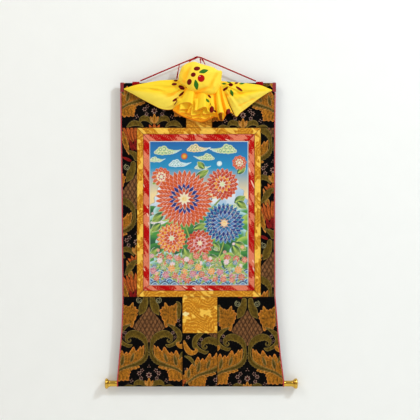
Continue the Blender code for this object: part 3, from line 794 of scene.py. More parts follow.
def top_sleeve():
    """From the hem behind the batten, over it and down its front, as y, z."""
    reach = -SHEET_Y - SLEEVE_CORNER
    top = SLEEVE_TOP - CLOTH / 2
    section = [(HEM_Y, TOP_HEM_END), (HEM_Y, TOP_HEM_SEWN), (HEM_Y + 1.5, TOP_HEM_LOOSE)]
    section += [(-SHEET_Y - 3.5, BATTEN_BOTTOM - 9.0), (-SHEET_Y, BATTEN_BOTTOM - 2.0)]
    for middle, start in ((reach, 0.0), (-reach, math.pi / 2)):
        for i in range(SLEEVE_CORNER_STEPS + 1):
            turn = start + i / SLEEVE_CORNER_STEPS * math.pi / 2
            y = middle + SLEEVE_CORNER * math.cos(turn)
            section.append((y, top - SLEEVE_CORNER + SLEEVE_CORNER * math.sin(turn)))
    return section


def bottom_sleeve():
    """Down the roller's front, round under it and up to the hem behind, as y, z."""
    ring = ROLLER_RADIUS + GAP + CLOTH / 2
    section = []
    for i in range(ROLLER_WRAP_STEPS + 1):
        turn = math.pi + i / ROLLER_WRAP_STEPS * math.pi * ROLLER_WRAP
        section.append((ROLLER_Y + ring * math.cos(turn), ROLLER_Z + ring * math.sin(turn)))
    section += [(HEM_Y + 3.4, LOW_HEM_LOOSE), (HEM_Y + 0.5, LOW_HEM_NEAR)]
    return section + [(HEM_Y, LOW_HEM_SEWN), (HEM_Y, LOW_HEM_END)]


def mount_panel(name, section, left, right, sewn, flat_start, step, figures):
    """A panel along a (y, z) section, and its length. figures(x, z) gives the fields of the flat cloth."""
    ys = [y for y, z in section]
    zs = [z for y, z in section]
    run = run_along(section)
    columns = max(2, round(float(right(zs[0]) - left(zs[0])) / step))
    rows = max(2, round(run[-1] / step))

    def place(across, down):
        gone = down * run[-1]
        y, z = np.interp(gone, run, ys), np.interp(gone, run, zs)
        low, high = left(z), right(z)
        x = low + (high - low) * across
        flat_z = flat_start - gone
        to_side = {"left": x - low, "right": high - x, "top": gone, "bottom": run[-1] - gone}
        rim = np.full(x.shape, FAR)
        for side in sewn:
            rim = np.minimum(rim, to_side[side])
        flat = smooth_step(1.0 - np.abs(y - SHEET_Y) / 1.5)
        y = y + hang(x, z) + flat * seam_dip(rim, x, z)
        return (x, y, z), {"rim": rim, **figures(x, flat_z)}

    return grid(name, columns, rows, place), run[-1]


def seam_dip(rim, x, z):
    """Cloth drawn down into a seam, with small puckers beside it."""
    pucker = 0.22 * np.sin((x + z) / 2.3) * bell(rim, 7.0)
    return 0.9 * bell(rim, 1.6) + pucker


# Fields of woven and painted figures


def ribbon(u, v, rows, pieces=5):
    """How far inside a curved ribbon each place is, its share along it and its side, -1 to 1."""
    count = pieces * (len(rows) - 1)
    line = [along(rows, i / count) for i in range(count + 1)]
    inside = np.full(u.shape, -FAR)
    share, side = np.zeros(u.shape), np.zeros(u.shape)
    for i, (a, b) in enumerate(zip(line, line[1:])):
        du, dv = b[0] - a[0], b[1] - a[1]
        length = math.hypot(du, dv) + 1e-6
        t = np.clip(((u - a[0]) * du + (v - a[1]) * dv) / length**2, 0.0, 1.0)
        gap = np.hypot(u - a[0] - t * du, v - a[1] - t * dv)
        half = a[2] + (b[2] - a[2]) * t
        better = half - gap > inside
        inside = np.where(better, half - gap, inside)
        share = np.where(better, (i + t) / count, share)
        way = ((v - a[1]) * du - (u - a[0]) * dv) / (length * np.maximum(half, 0.5))
        side = np.where(better, way, side)
    return inside, share, side


def petal(u, v, foot, tip, half, lobes=1):
    """A pointed petal from its foot to its tip, whose edge is cut into lobes that lean forward."""
    du, dv = tip[0] - foot[0], tip[1] - foot[1]
    length = math.hypot(du, dv)
    share = ((u - foot[0]) * du + (v - foot[1]) * dv) / length**2
    side = ((v - foot[1]) * du - (u - foot[0]) * dv) / length
    body = np.clip(share, 0.0, 1.0)
    width = half * np.sin(math.pi * np.clip(0.12 + 0.88 * body**0.9, 0.0, 1.0)) ** 0.75
    if lobes > 1:
        saw = (body * lobes * 1.6 + 0.3 - 0.25 * np.abs(side) / half) % 1.0
        width = width * (1.0 - 0.34 * (1.0 - body * 0.4) * saw**1.5)
    beyond = np.maximum(np.maximum(-share, share - 1.0), 0.0) * length
    return width - np.abs(side) - beyond * 1.3, body, side / half


def small_scroll():
    """The thin spiral at the top of the repeat, as rows of distance across, distance down, half width."""
    cu, cv = SMALL_SCROLL["centre"]
    first, last = SMALL_SCROLL["half"]
    rows = []
    for i in range(SMALL_SCROLL["spans"] + 1):
        share = i / SMALL_SCROLL["spans"]
        angle = -0.4 * math.pi + share * SMALL_SCROLL["turns"] * math.tau
        reach = SMALL_SCROLL["radius"] * (1 - 0.78 * share)
        half = first + (last - first) * share
        rows.append((cu + reach * math.cos(angle), cv + reach * math.sin(angle), half))
    return rows


class Yarns:
    """Fields of the yarns over a black ground, in one mirrored repeat."""

    NAMES = ("olive", "gold", "rust", "red", "pink", "lattice", "pale")

    def __init__(self, x, z, axis, scroll_z):
        across = (x - axis + REPEAT_WIDTH / 2) % REPEAT_WIDTH - REPEAT_WIDTH / 2
        self.u = np.abs(across)
        self.v = scroll_z - z
        self.fields = {name: np.full(x.shape, -FAR) for name in self.NAMES}
        self.light = np.ones(x.shape)
        self.warmth = np.zeros(x.shape)

    def down(self, middle):
        """Distances down the repeat, taken from the turn of it that lies nearest to the middle."""
        half = REPEAT_HEIGHT / 2
        return (self.v - middle + half) % REPEAT_HEIGHT - half + middle

    def lay(self, name, inside, light=None, apart=False, warmth=0.0):
        """Lays a figure with a dark line round it, which also parts it from its own yarn if asked."""
        for other, field in self.fields.items():
            if other != name or apart:
                np.minimum(field, -inside - OUTLINE, out=field)
        np.maximum(self.fields[name], inside, out=self.fields[name])
        if light is not None:
            self.light = np.where(inside > 0, light, self.light)
            self.warmth = np.where(inside > 0, warmth, self.warmth)

    def lay_curl(self, name, teeth, rows, light=1.0):
        """A curved ribbon whose one side may be cut into teeth."""
        middle = sum(row[1] for row in rows) / len(rows)
        inside, share, side = ribbon(self.u, self.down(middle), rows)
        length = run_along([row[:2] for row in rows])[-1]
        saw = (share * length / 11.0) % 1.0
        inside = inside - abs(teeth) * saw * (side * teeth > 0)
        streak = np.sin(share * length / 3.4 + 3.0 * side) * bell(side, 0.6)
        lit_side = 1 if teeth >= 0 else -1
        self.lay(name, inside, light * (0.84 + 0.3 * side**2 + 0.2 * side * lit_side + 0.12 * streak))

    def lay_petal(self, name, foot_u, foot_v, tip_u, tip_v, half, lobes, apart=False):
        """A pointed petal with a rib, veins and a lit tip, warmer in colour towards its tip."""
        v = self.down((foot_v + tip_v) / 2)
        inside, share, side = petal(self.u, v, (foot_u, foot_v), (tip_u, tip_v), half, lobes)
        rib = bell(side, 0.14) * (1 - share)
        veins = bell((share * 5.5 - 1.1 * np.abs(side)) % 1.0 - 0.5, 0.16)
        tip = smooth_step((share - 0.72) / 0.28)
        rim = bell(inside - 1.4, 1.1) * smooth_step(share / 0.3)
        warmth = 0.55 * share**2 + 0.4 * tip - 0.95 * bell(side, 0.4) * bell(share - 0.42, 0.24)
        light = 0.8 + 0.3 * tip + 0.14 * side - 0.34 * rib - 0.3 * veins + 0.34 * rim
        self.lay(name, inside, light, apart, warmth)

    def lay_heart(self):
        """The serrated middle of the broad leaf."""
        (cu, cv), (wide, tall) = LEAF_HEART["centre"], LEAF_HEART["radii"]
        v = self.down(cv)
        tooth = (np.arctan2(v - cv, self.u - cu) * LEAF_HEART["teeth"]) % 1.0
        far = np.hypot((self.u - cu) / wide, (v - cv) / tall)
        inside = (1 - far) * wide - LEAF_HEART["depth"] * tooth
        veins = bell(tooth - 0.5, 0.1)
        curls = np.sin((self.u - cu) / 4.0 + 1.5 * np.sin(v / 5.0)) * np.sin(v / 5.2)
        self.lay("gold", inside, 0.9 - 0.34 * veins + 0.22 * curls, False, 0.5 * curls)

    def lay_sprig(self, u, v, radius, petals):
        """A loose round of narrow petals with a dark heart."""
        down = self.down(v)
        for k in range(petals):
            turn = (k + 0.25) / petals * math.tau + 0.1 * u
            foot, tip = (
                (u + reach * math.cos(turn), v + reach * math.sin(turn)) for reach in (0.42 * radius, radius)
            )
            inside, _, _ = petal(self.u, down, foot, tip, 0.2 * radius)
            self.lay("pink", inside, 1.0)
        self.lay("red", 0.14 * radius - np.hypot(self.u - u, down - v), 0.8)

    def lay_lattice(self):
        """A diamond of small lit cells between two slanting edges."""
        corner_u, corner_v = LATTICE["corner"]
        v = self.down(corner_v)
        over = (v - LATTICE["apex"]) * corner_u - self.u * (corner_v - LATTICE["apex"])
        under = (LATTICE["foot"] - v) * corner_u - self.u * (LATTICE["foot"] - corner_v)
        over /= math.hypot(corner_u, corner_v - LATTICE["apex"])
        under /= math.hypot(corner_u, LATTICE["foot"] - corner_v)
        wide, tall = LATTICE["cell"]
        size = wide * tall / math.hypot(wide, tall)
        first = np.abs((self.u / wide + v / tall) % 1.0 - 0.5)
        second = np.abs((self.u / wide - v / tall) % 1.0 - 0.5)
        cell = (0.5 - np.maximum(first, second)) * size - LATTICE["line"]
        light = 0.3 + 0.85 * smooth_step((cell + 1.6) / 4.6)
        self.lay("lattice", np.minimum(over, under), light)

    def weave(self):
        """Lays every figure of the repeat, the lowest first, and gives the fields."""
        self.lay_lattice()
        self.lay_heart()
        for rows in (LEAF_BODY, LEAF_FOOT):
            inside, share, side = ribbon(self.u, self.down(LEAF_BODY_MIDDLE), rows)
            veins = bell((share * 14.0 - 1.2 * np.abs(side)) % 1.0 - 0.5, 0.14)
            self.lay("gold", inside, 0.84 - 0.3 * veins, False, -0.3 - 0.3 * veins)
        for row in LEAF_FINGERS:
            self.lay_petal("gold", *row)
        for row in PETALS:
            self.lay_petal(*row, apart=True)
        inside, share, side = ribbon(self.u, self.down(LEAF_RIB_MIDDLE), LEAF_RIB, 7)
        teeth = 3.5 * ((share * 19.0) % 1.0) * (side > 0.0)
        light = 0.78 + 0.7 * bell(side + 0.75, 0.22) - 0.25 * bell(side + 0.2, 0.25)
        self.lay("olive", inside - teeth, light)
        for name, teeth, rows in CURLS:
            self.lay_curl(name, teeth, rows)
        self.lay_curl("pale", 0, small_scroll(), 1.1)
        for row in TULIP:
            self.lay_petal("gold", *row, 1, apart=True)
        for row in SPRIGS:
            self.lay_sprig(*row)
        return {**self.fields, "light": self.light, "warmth": self.warmth}


def swirls(x, z, seed, pitch, line):
    """Cloud scrolls: the phase, 0 to 1, of a spiral round the nearest of scattered centres."""
    draw = np.random.default_rng(seed)
    wide, tall = pitch
    columns = range(math.floor(x.min() / wide) - 1, math.ceil(x.max() / wide) + 2)
    rows = range(math.floor(z.min() / tall) - 1, math.ceil(z.max() / tall) + 2)
    nearest = np.full(x.shape, FAR)
    phase = np.zeros(x.shape)
    for i in columns:
        for j in rows:
            shift_x, shift_z, hand = draw.random(3)
            cx = (i + 0.5 * (j % 2) + 0.5 * (shift_x - 0.5)) * wide
            cz = (j + 0.5 * (shift_z - 0.5)) * tall
            dx, dz = x - cx, (z - cz) * 1.25
            far = np.hypot(dx, dz)
            angle = np.arctan2(dz, dx)
            bend = far + 0.4 * line * np.sin(3 * angle + 6 * hand)
            turn = angle / math.tau * (1 if hand > 0.5 else -1)
            closer = far < nearest
            nearest = np.where(closer, far, nearest)
            phase = np.where(closer, bend / line + turn, phase)
    return phase % 1.0


GOLD_SCROLLS = {"seed": 11, "pitch": (49.0, 38.0), "line": 11.5}
CRIMSON_SCROLLS = {"seed": 5, "pitch": (36.0, 27.0), "line": 9.0}
# The palest patch of the gold door: x, z, half width, half height
PALE_PATCH = (-52.0, -1053.0, 13.0, 8.5)


def gold_figures(x, z):
    """Arcs of the gold satin's cloud scrolls, from -1 to 1, and painted sheen: the patches that catch the
    light, fewer on the bottom border.
    """
    phase = swirls(x, z, **GOLD_SCROLLS)
    wave = z / 15.0 + 1.1 * np.sin(x / 23.0 + 0.8 * np.sin(z / 29.0)) + 0.45 * np.sin(x / 10.0 + z / 17.0)
    low = smooth_step((-930.0 - z) / 40.0)
    sway = 1.6 * np.sin(z / 15.0 + 0.4) + 0.8 * np.sin(x / 9.0)
    lit = np.sin(x / 15.0 + sway) + 0.8 * np.sin(z / 13.0 - x / 41.0 + 1.2) + 0.45 * np.sin(x / 5.3 + z / 4.1)
    ripple = np.sin(x / 4.3 + 2.0 * np.sin(z / 6.1)) * np.sin(z / 3.7 + 1.3 * np.sin(x / 7.7))
    spot_x, spot_z, wide, tall = PALE_PATCH
    far = np.hypot((x - spot_x) / wide, (z - spot_z) / tall)
    ragged = 0.16 * np.sin(4.0 * np.arctan2(z - spot_z, x - spot_x) + 1.0)
    return {
        "arc": 0.5 * np.cos(phase * math.tau) + 0.6 * np.cos(wave * math.tau),
        "lit": lit * 4.0 - 1.2 - 3.0 * low,
        "ripple": ripple,
        "white": (1.0 + ragged - far) * tall,
    }


def crimson_figures(x, z):
    """Salmon clouds on the crimson satin, with scroll lines beside them and pale petals."""
    phase = swirls(x, z, **CRIMSON_SCROLLS)
    body = np.sin(x / 19.0 + 1.5 * np.sin(x / 47.0 + 0.7)) + 0.5 * np.sin(x / 6.3 + z / 3.6)
    body += 0.5 * np.sin(z / 8.0 + x / 14.0 + 1.0)
    line = 1.3 - np.abs(phase - 0.5) * CRIMSON_SCROLLS["line"]
    petals = np.sin(x / 14.5 + 1.2 * np.sin(x / 33.0)) * np.sin(z / 4.2 + x / 9.0)
    petals += 0.5 * np.sin(x / 51.0 + z / 9.0)
    return {"cloud": body * 9.0 - 2.0, "line": line, "petals": (petals - 1.12) * 9.0}


# The picture: a flower garden under clouds, in the painting's kinds of colours


PAINT = {
    "deep sky": linear(6, 96, 172),
    "sky": linear(14, 146, 196),
    "pale sky": linear(196, 232, 240),
    "dawn": linear(250, 220, 160),
    "snow": linear(236, 240, 244),
    "ice": linear(120, 176, 220),
    "blue": linear(18, 52, 150),
    "dark blue": linear(12, 30, 96),
    "flame": linear(206, 50, 12),
    "orange": linear(232, 104, 22),
    "red": linear(178, 22, 18),
    "green": linear(70, 150, 62),
    "dark green": linear(24, 92, 52),
    "lime": linear(192, 212, 92),
    "pink": linear(232, 150, 190),
    "pale pink": linear(248, 214, 222),
    "yellow": linear(244, 200, 70),
    "white": linear(248, 246, 238),
    "teal": linear(40, 150, 150),
}


def shaded(share, low, high):
    """Colours between two paints."""
    share = np.clip(share, 0.0, 1.0)[:, None]
    return np.asarray(PAINT[low]) * (1 - share) + np.asarray(PAINT[high]) * share


class Canvas:
    """Paint on the points of the picture: x from its middle and y down from its top, in millimetres."""

    def __init__(self, x, y):
        self.x, self.y = x, y
        self.paint = np.zeros((len(x), 3))
        self.ink = np.full(x.shape, -FAR)
        self.chalk = np.full(x.shape, -FAR)
        self.every = np.arange(len(x))

    def near(self, x, y, reach):
        """The points in a square round a place."""
        return np.flatnonzero((np.abs(self.x - x) < reach) & (np.abs(self.y - y) < reach))

    def fill(self, spots, inside, colour, ink=0.0, chalk=0.0):
        """Paints over all that lies inside, then rims it with a dark or a pale line of that half width."""
        cover = np.clip(inside / 1.2 + 0.5, 0.0, 1.0)[:, None]
        self.paint[spots] = self.paint[spots] * (1 - cover) + np.asarray(colour) * cover
        self.ink[spots] = np.minimum(self.ink[spots], -inside)
        self.chalk[spots] = np.minimum(self.chalk[spots], -inside)
        if ink:
            self.ink[spots] = np.maximum(self.ink[spots], ink - np.abs(inside))
        if chalk:
            self.chalk[spots] = np.maximum(self.chalk[spots], chalk - np.abs(inside))

    def petal(self, foot, tip, half, low, high, ink=0.0, chalk=0.6):
        """A pointed petal, shaded from its foot to its tip."""
        reach = math.dist(foot, tip) + half
        spots = self.near((foot[0] + tip[0]) / 2, (foot[1] + tip[1]) / 2, reach * 0.75 + 4.0)
        inside, share, side = petal(self.x[spots], self.y[spots], foot, tip, half)
        self.fill(spots, inside, shaded(share - 0.25 * np.abs(side), low, high), ink, chalk)

    def disc(self, x, y, radius, low, high, ink=0.0, chalk=0.0):
        """A round, shaded from its middle to its rim."""
        spots = self.near(x, y, radius + 4.0)
        gap = np.hypot(self.x[spots] - x, self.y[spots] - y)
        self.fill(spots, radius - gap, shaded(gap / radius, low, high), ink, chalk)

    def stem(self, rows, low, high):
        """A curved stalk, lit on one side."""
        inside, _, side = ribbon(self.x, self.y, rows, 6)
        self.fill(self.every, inside, shaded(0.5 + 0.5 * side, low, high), 0.7)

    def blossom(self, x, y, rings, turn=0.0):
        """Rings of petals from the outside in: count, foot radius, tip radius, half width, colours."""
        for r, (count, foot, tip, half, low, high) in enumerate(rings):
            for k in range(count):
                angle = (k + 0.5 * (r % 2)) / count * math.tau + turn
                start = (x + foot * math.cos(angle), y + foot * math.sin(angle))
                end = (x + tip * math.cos(angle), y + tip * math.sin(angle))
                self.petal(start, end, half, low, high, 0.0, 0.7)

    def cloud(self, x, y, size, tint, flip=1):
        """A drift of scalloped lobes, pale at the rim, with a curl in each and wisps that trail off."""
        for k in range(3):
            start, end = flip * (1.0 + 0.4 * k), flip * (3.6 + 0.5 * k)
            rise = (0.42 - 0.3 * k) * size
            rows = [(x + start * size, y + rise, 3.2), (x + (start + end) / 2 * size, y + rise + 3.0, 2.6),
                    (x + end * size, y + rise - 2.0, 0.6)]
            inside, share, _ = ribbon(self.x, self.y, rows, 4)
            self.fill(self.every, inside, shaded(share, tint, "pale sky"), 0.0, 0.5)
        lobes = ((0, 0, 1.0), (0.95, 0.12, 0.8), (-0.9, 0.18, 0.7), (0.42, -0.5, 0.75), (-0.45, -0.38, 0.62),
                 (1.75, 0.32, 0.55), (2.4, 0.42, 0.34), (-1.55, 0.36, 0.4))
        for part_x, part_y, part in lobes:
            spot = (x + flip * part_x * size, y + part_y * size)
            self.disc(*spot, part * size, "white", tint, 0.0, 0.7)
            self.disc(*spot, part * size * 0.66, tint, "teal", 0.0, 0.6)
            self.disc(*spot, part * size * 0.4, "white", tint, 0.4, 0.0)

    def hill(self, x, y, width, height, low, high):
        """A rounded rise with a lit rim."""
        spots = self.near(x, y, max(width, height) + 8.0)
        far = np.hypot((self.x[spots] - x) / width, (self.y[spots] - y) / height)
        inside = (1 - far) * min(width, height)
        self.fill(spots, inside, shaded(inside / height * 1.6, high, low), 0.6, 0.0)

    def mountain(self, x, top, width, foot):
        """A snow peak with a broken snow line."""
        spots = self.near(x, (top + foot) / 2, max(width, foot - top))
        px, py = self.x[spots], self.y[spots]
        crag = 5.0 * np.sin(py / 6.0 + x) + 3.0 * np.sin(px / 4.0)
        inside = np.minimum((py - top) * width / (foot - top) - np.abs(px - x) + crag, foot - py)
        shade = (py - top) / (foot - top) + 0.25 * np.sign(px - x)
        self.fill(spots, inside * 0.7, shaded(shade, "snow", "ice"), 0.6, 0.0)

    def water(self, top, pitch):
        """Rows of overlapping round waves."""
        fall = pitch * 0.42
        half_count = math.ceil(PICTURE_HALF_WIDTH / pitch)
        for r in range(math.ceil((PICTURE_HEIGHT - top) / fall) + 1):
            for k in range(-half_count, half_count + 1):
                cx, cy = (k + 0.5 * (r % 2)) * pitch, top + (r + 1) * fall
                for reach, low, high in ((0.56, "teal", "dark blue"), (0.42, "white", "pale sky"),
                                         (0.34, "sky", "blue"), (0.2, "white", "ice"), (0.12, "teal", "sky")):
                    self.disc(cx, cy, pitch * reach, low, high, 0.0, 0.6 if reach > 0.5 else 0.0)


def flower_rings(size, outer, middle, inner, heart):
    """Petal rings for a full blossom of a size, with each colour pair from a petal's foot to its tip."""
    rings = []
    for count, foot, tip, colours in (
        (34, 0.66, 1.0, outer), (32, 0.56, 0.9, inner), (28, 0.46, 0.79, outer), (24, 0.36, 0.67, inner),
        (18, 0.24, 0.54, middle), (14, 0.12, 0.4, outer), (9, 0.0, 0.24, heart),
    ):
        petals = max(8, round(count * min(1.0, size / 112.0)))
        rings.append((petals, foot * size, tip * size, 3.0 * (foot + tip) * size / 2 / petals, *colours))
    return rings


# Big blossoms: x, y, size, then the colours of their rings
BLOSSOMS = [
    (-154.0, 146.0, 40.0, ("red", "orange"), ("white", "yellow"), ("flame", "orange"), ("lime", "white")),
    (166.0, 88.0, 30.0, ("flame", "orange"), ("lime", "white"), ("red", "orange"), ("yellow", "white")),
    (96.0, 176.0, 66.0, ("red", "orange"), ("orange", "yellow"), ("red", "flame"), ("lime", "white")),
    (-60.0, 236.0, 118.0, ("red", "orange"), ("dark blue", "blue"), ("flame", "orange"), ("yellow", "white")),
    (104.0, 336.0, 84.0, ("dark blue", "sky"), ("blue", "ice"), ("dark blue", "blue"), ("yellow", "orange")),
    (-112.0, 398.0, 62.0, ("flame", "orange"), ("red", "orange"), ("orange", "yellow"), ("lime", "white")),
    (4.0, 418.0, 56.0, ("red", "flame"), ("flame", "pale pink"), ("red", "orange"), ("yellow", "white")),
]
# Broad leaves round them: foot x and y, tip x and y, half width
LEAVES = [
    (-10, 150, 40, 118, 15), (30, 250, 34, 196, 17), (-150, 300, -192, 330, 18), (-20, 360, 36, 340, 15),
    (150, 250, 190, 226, 17), (160, 250, 196, 276, 15), (-160, 340, -196, 372, 15), (60, 420, 84, 450, 15),
    (150, 420, 194, 446, 18), (140, 430, 168, 478, 17), (-60, 440, -44, 486, 17), (-170, 440, -196, 470, 15),
    (40, 470, 84, 498, 16), (-150, 150, -190, 176, 16), (20, 110, -6, 84, 13), (160, 130, 192, 104, 14),
]
# Stems: rows of x, y, half width
STEMS = [
    [(-60, 330, 3.4), (-40, 390, 3.6), (-30, 460, 3.8), (-20, 530, 3)],
    [(104, 410, 3.2), (92, 450, 3.6), (70, 500, 3.4), (40, 540, 3)],
    [(96, 230, 2.6), (60, 270, 3), (40, 330, 3), (44, 400, 3)],
    [(-112, 450, 3), (-92, 490, 3.2), (-60, 530, 3)],
    [(4, 466, 3), (4, 500, 3.2), (8, 540, 3)],
]
# Clouds: x, y, size, tint, side that the wisps trail to
CLOUDS = [
    (-150, 40, 17, "lime", 1), (-20, 30, 15, "yellow", 1), (120, 34, 18, "lime", -1),
    (-96, 92, 14, "pale sky", 1), (38, 66, 13, "lime", -1), (-184, 76, 10, "lime", 1),
    (2, 106, 10, "lime", 1), (150, 268, 11, "lime", 1), (-176, 330, 11, "pale pink", 1),
]
# Snow peaks: x, top, half width of the foot
PEAKS = [(-150, 170, 80), (150, 150, 90), (20, 190, 90), (-70, 200, 70), (80, 205, 80)]
HORIZON, PEAKS_FOOT, WATER_TOP, WAVE_PITCH, PALE_EDGE = 110.0, 330.0, 528.0, 40.0, 2.4
SMALL_PAIRS = (("red", "pink"), ("dark blue", "sky"), ("flame", "orange"), ("orange", "yellow"),
               ("pink", "white"), ("red", "orange"), ("dark green", "lime"), ("flame", "orange"))


def paint_land(canvas):
    """Sky, snow peaks, rows of rounded hills, water and clouds."""
    canvas.paint[:] = shaded(canvas.y / HORIZON, "deep sky", "sky")
    lower = shaded((canvas.y - HORIZON) / HORIZON, "sky", "dawn")
    canvas.paint[:] = np.where((canvas.y > HORIZON)[:, None], lower, canvas.paint)
    for x, top, width in PEAKS:
        canvas.mountain(x, top, width, PEAKS_FOOT)
    draw = np.random.default_rng(7)
    for row in range(9):
        for k in range(7):
            x = -200 + k * 66 + 33 * (row % 2) + draw.uniform(-10, 10)
            y = 290 + row * 32 + draw.uniform(-6, 6)
            tints = (("green", "lime"), ("dark green", "green"), ("green", "pale sky"))[int(draw.integers(3))]
            canvas.hill(x, y, 48.0, 30.0, *tints)
    canvas.water(WATER_TOP, WAVE_PITCH)
    for cloud in CLOUDS:
        canvas.cloud(*cloud)
    canvas.disc(-60.0, 62.0, 13.0, "yellow", "flame", 0.6, 0.0)
    canvas.disc(84.0, 92.0, 11.0, "white", "pale sky", 0.6, 0.0)


def paint_blossoms(canvas):
    """Stems, broad leaves and the big blossoms, each with a ring of stamens."""
    for rows in STEMS:
        canvas.stem(rows, "dark green", "lime")
    for foot_x, foot_y, tip_x, tip_y, half in LEAVES:
        canvas.petal((foot_x, foot_y), (tip_x, tip_y), half, "dark green", "lime", 0.0, 0.8)
        canvas.petal((foot_x, foot_y), (tip_x, tip_y), half * 0.25, "lime", "dark green", 0.0, 0.0)
    for x, y, size, *colours in BLOSSOMS:
        canvas.blossom(x, y, flower_rings(size, *colours), 0.3 * size)
        for k in range(9):
            turn = k / 9 * math.tau
            spot = (x + 0.12 * size * math.cos(turn), y + 0.12 * size * math.sin(turn))
            canvas.disc(*spot, 0.035 * size, "yellow", "white")


def paint_bank(canvas):
    """The bank of small leafy flowers at the foot."""
    for k in range(60):
        x = -192 + (k * 61.8) % 384
        y = 470 + 100 * ((k * 0.618) % 1.0)
        colours = SMALL_PAIRS[k % len(SMALL_PAIRS)]
        size = 10.0 + 8.0 * ((k * 0.37) % 1.0)
        for turn in (0.4 * k, 0.4 * k + 2.1, 0.4 * k + 4.2):
            tip = (x + 1.9 * size * math.cos(turn), y + 1.9 * size * math.sin(turn))
            canvas.petal((x, y), tip, 0.36 * size, "dark green", "lime", 0.0, 0.5)
        outer = (7, 0.2 * size, size, 0.3 * size, *colours)
        inner = (6, 0.0, 0.5 * size, 0.2 * size, *colours[::-1])
        canvas.blossom(x, y, [outer, inner], k)
        canvas.disc(x, y, 0.16 * size, "yellow", "orange")


def paint_scattered(canvas):
    """Small flowers on the hills, clear of the big blossoms."""
    for k in range(34):
        x = -190 + (k * 83.1) % 380
        y = 296 + 190 * ((k * 0.414) % 1.0)
        size = 6.0 + 4.0 * ((k * 0.53) % 1.0)
        if any(math.dist((x, y), (b[0], b[1])) < b[2] + size for b in BLOSSOMS):
            continue
        colours = SMALL_PAIRS[(k * 3) % len(SMALL_PAIRS)]
        canvas.blossom(x, y, [(6, 0.1 * size, size, 0.32 * size, *colours)], k)
        canvas.disc(x, y, 0.24 * size, "yellow", "white")


def paint_garden(x, y):
    """The whole picture with its pale edge."""
    canvas = Canvas(x, y)
    for paint in (paint_land, paint_blossoms, paint_bank, paint_scattered):
        paint(canvas)
    border = np.minimum(np.minimum(PICTURE_HALF_WIDTH - np.abs(x), y), PICTURE_HEIGHT - y)
    canvas.fill(canvas.every, PALE_EDGE - border, PAINT["white"])
    return {"paint": canvas.paint, "ink": canvas.ink, "chalk": canvas.chalk}


# Materials


def seam_shade(finish, colour, level):
    """Painted shade: a colour that sinks to a level in the ditch of a seam."""
    return finish.tone(colour, level + finish.field("rim").step(0.2, 2.2) * (1 - level))


def brocade_finish():
    """Black brocade: each yarn's figures over the ground, the leaves blended from gold to rust and olive."""
    yarn = bpy.context.scene.scroll_brocade
    finish = Finish("black brocade")
    x, _, z = finish.place()
    grain = finish.noise(900.0, 3.0)
    patch = finish.noise(60.0, 2.0)
    mottle = finish.noise(170.0, 3.0, (1.0, 1.0, 0.7)).step(0.34, 0.66)
    light = finish.field("light") * (0.4 + grain * 0.3 + patch * 0.3 + mottle * 0.62)
    colour = finish.tone(yarn.ground, 0.7 + patch * 0.7)
    raised = None
    rims = {"olive": linear(144, 124, 68), "gold": linear(206, 148, 76), "rust": linear(70, 22, 10)}
    warmth = finish.field("warmth")
    gold = finish.mix(warmth.step(0.0, 1.0) * 0.6, yarn.gold, yarn.rust)
    gold = finish.mix((warmth * -1.0).step(0.0, 1.0) * 0.75, gold, yarn.olive)
    for name in Yarns.NAMES:
        field = finish.field(name)
        body = finish.tone(gold if name == "gold" else getattr(yarn, name), light)
        if name in rims:
            rim = field.step(2.4, 0.9)
            body = finish.mix(rim * (0.35 + mottle * 0.45), body, rims[name])
        mask = field.inside()
        colour = finish.mix(mask, colour, body)
        raised = mask if raised is None else raised + mask
    colour = seam_shade(finish, colour, 0.3)
    twill = ((x + z * 0.5) * (math.tau / 1.6)).math("SINE") * 0.5 + 0.5
    weave = weave_height(x, z, yarn.pitch * TO_MM)
    finish.bump(raised * 1.3 + weave * 0.5 + twill * raised * 0.5 + grain * 0.4, 0.22)
    reverse = finish.tone(linear(84, 62, 40), 0.7 + patch * 0.6)
    return finish.set(
        base_color=reverse_side(finish, colour, reverse),
        roughness=0.9 - raised * 0.2,
        specular_ior_level=0.1,
    )


def gold_finish():
    """Gold satin with cloud scrolls and painted sheen on the patches that catch the light."""
    satin = bpy.context.scene.scroll_border
    finish = Finish("gold brocade")
    patch = finish.noise(34.0, 2.0)
    thread = finish.noise(1500.0, 2.0, (1.0, 1.0, 0.12))
    lit = finish.field("lit").step(-0.8, 0.8)
    arc = finish.field("arc")
    colour = finish.mix(arc.step(-0.55, 0.55), satin.gold_dark, satin.gold)
    colour = finish.mix(arc.step(0.5, 1.0) * 0.5, colour, satin.gold_light)
    # Painted sheen where the satin catches the light
    colour = finish.mix(lit * 0.85, colour, satin.gold_light)
    colour = finish.mix(finish.field("white").inside(0.8) * 0.85, colour, satin.gold_pale)
    ripple = finish.field("ripple") * 0.5 + 0.5
    colour = finish.tone(colour, 0.72 + ripple * 0.16 + patch * 0.28 + thread * 0.12)
    colour = seam_shade(finish, colour, 0.35)
    finish.bump(arc * 0.6 + lit * 0.6 + thread * 0.5, 0.22)
    reverse = finish.tone(linear(150, 112, 60), 0.8 + thread * 0.3)
    return finish.set(
        base_color=reverse_side(finish, colour, reverse),
        roughness=0.5 - lit * 0.12,
        metallic=0.1,
        specular_ior_level=0.25,
    )


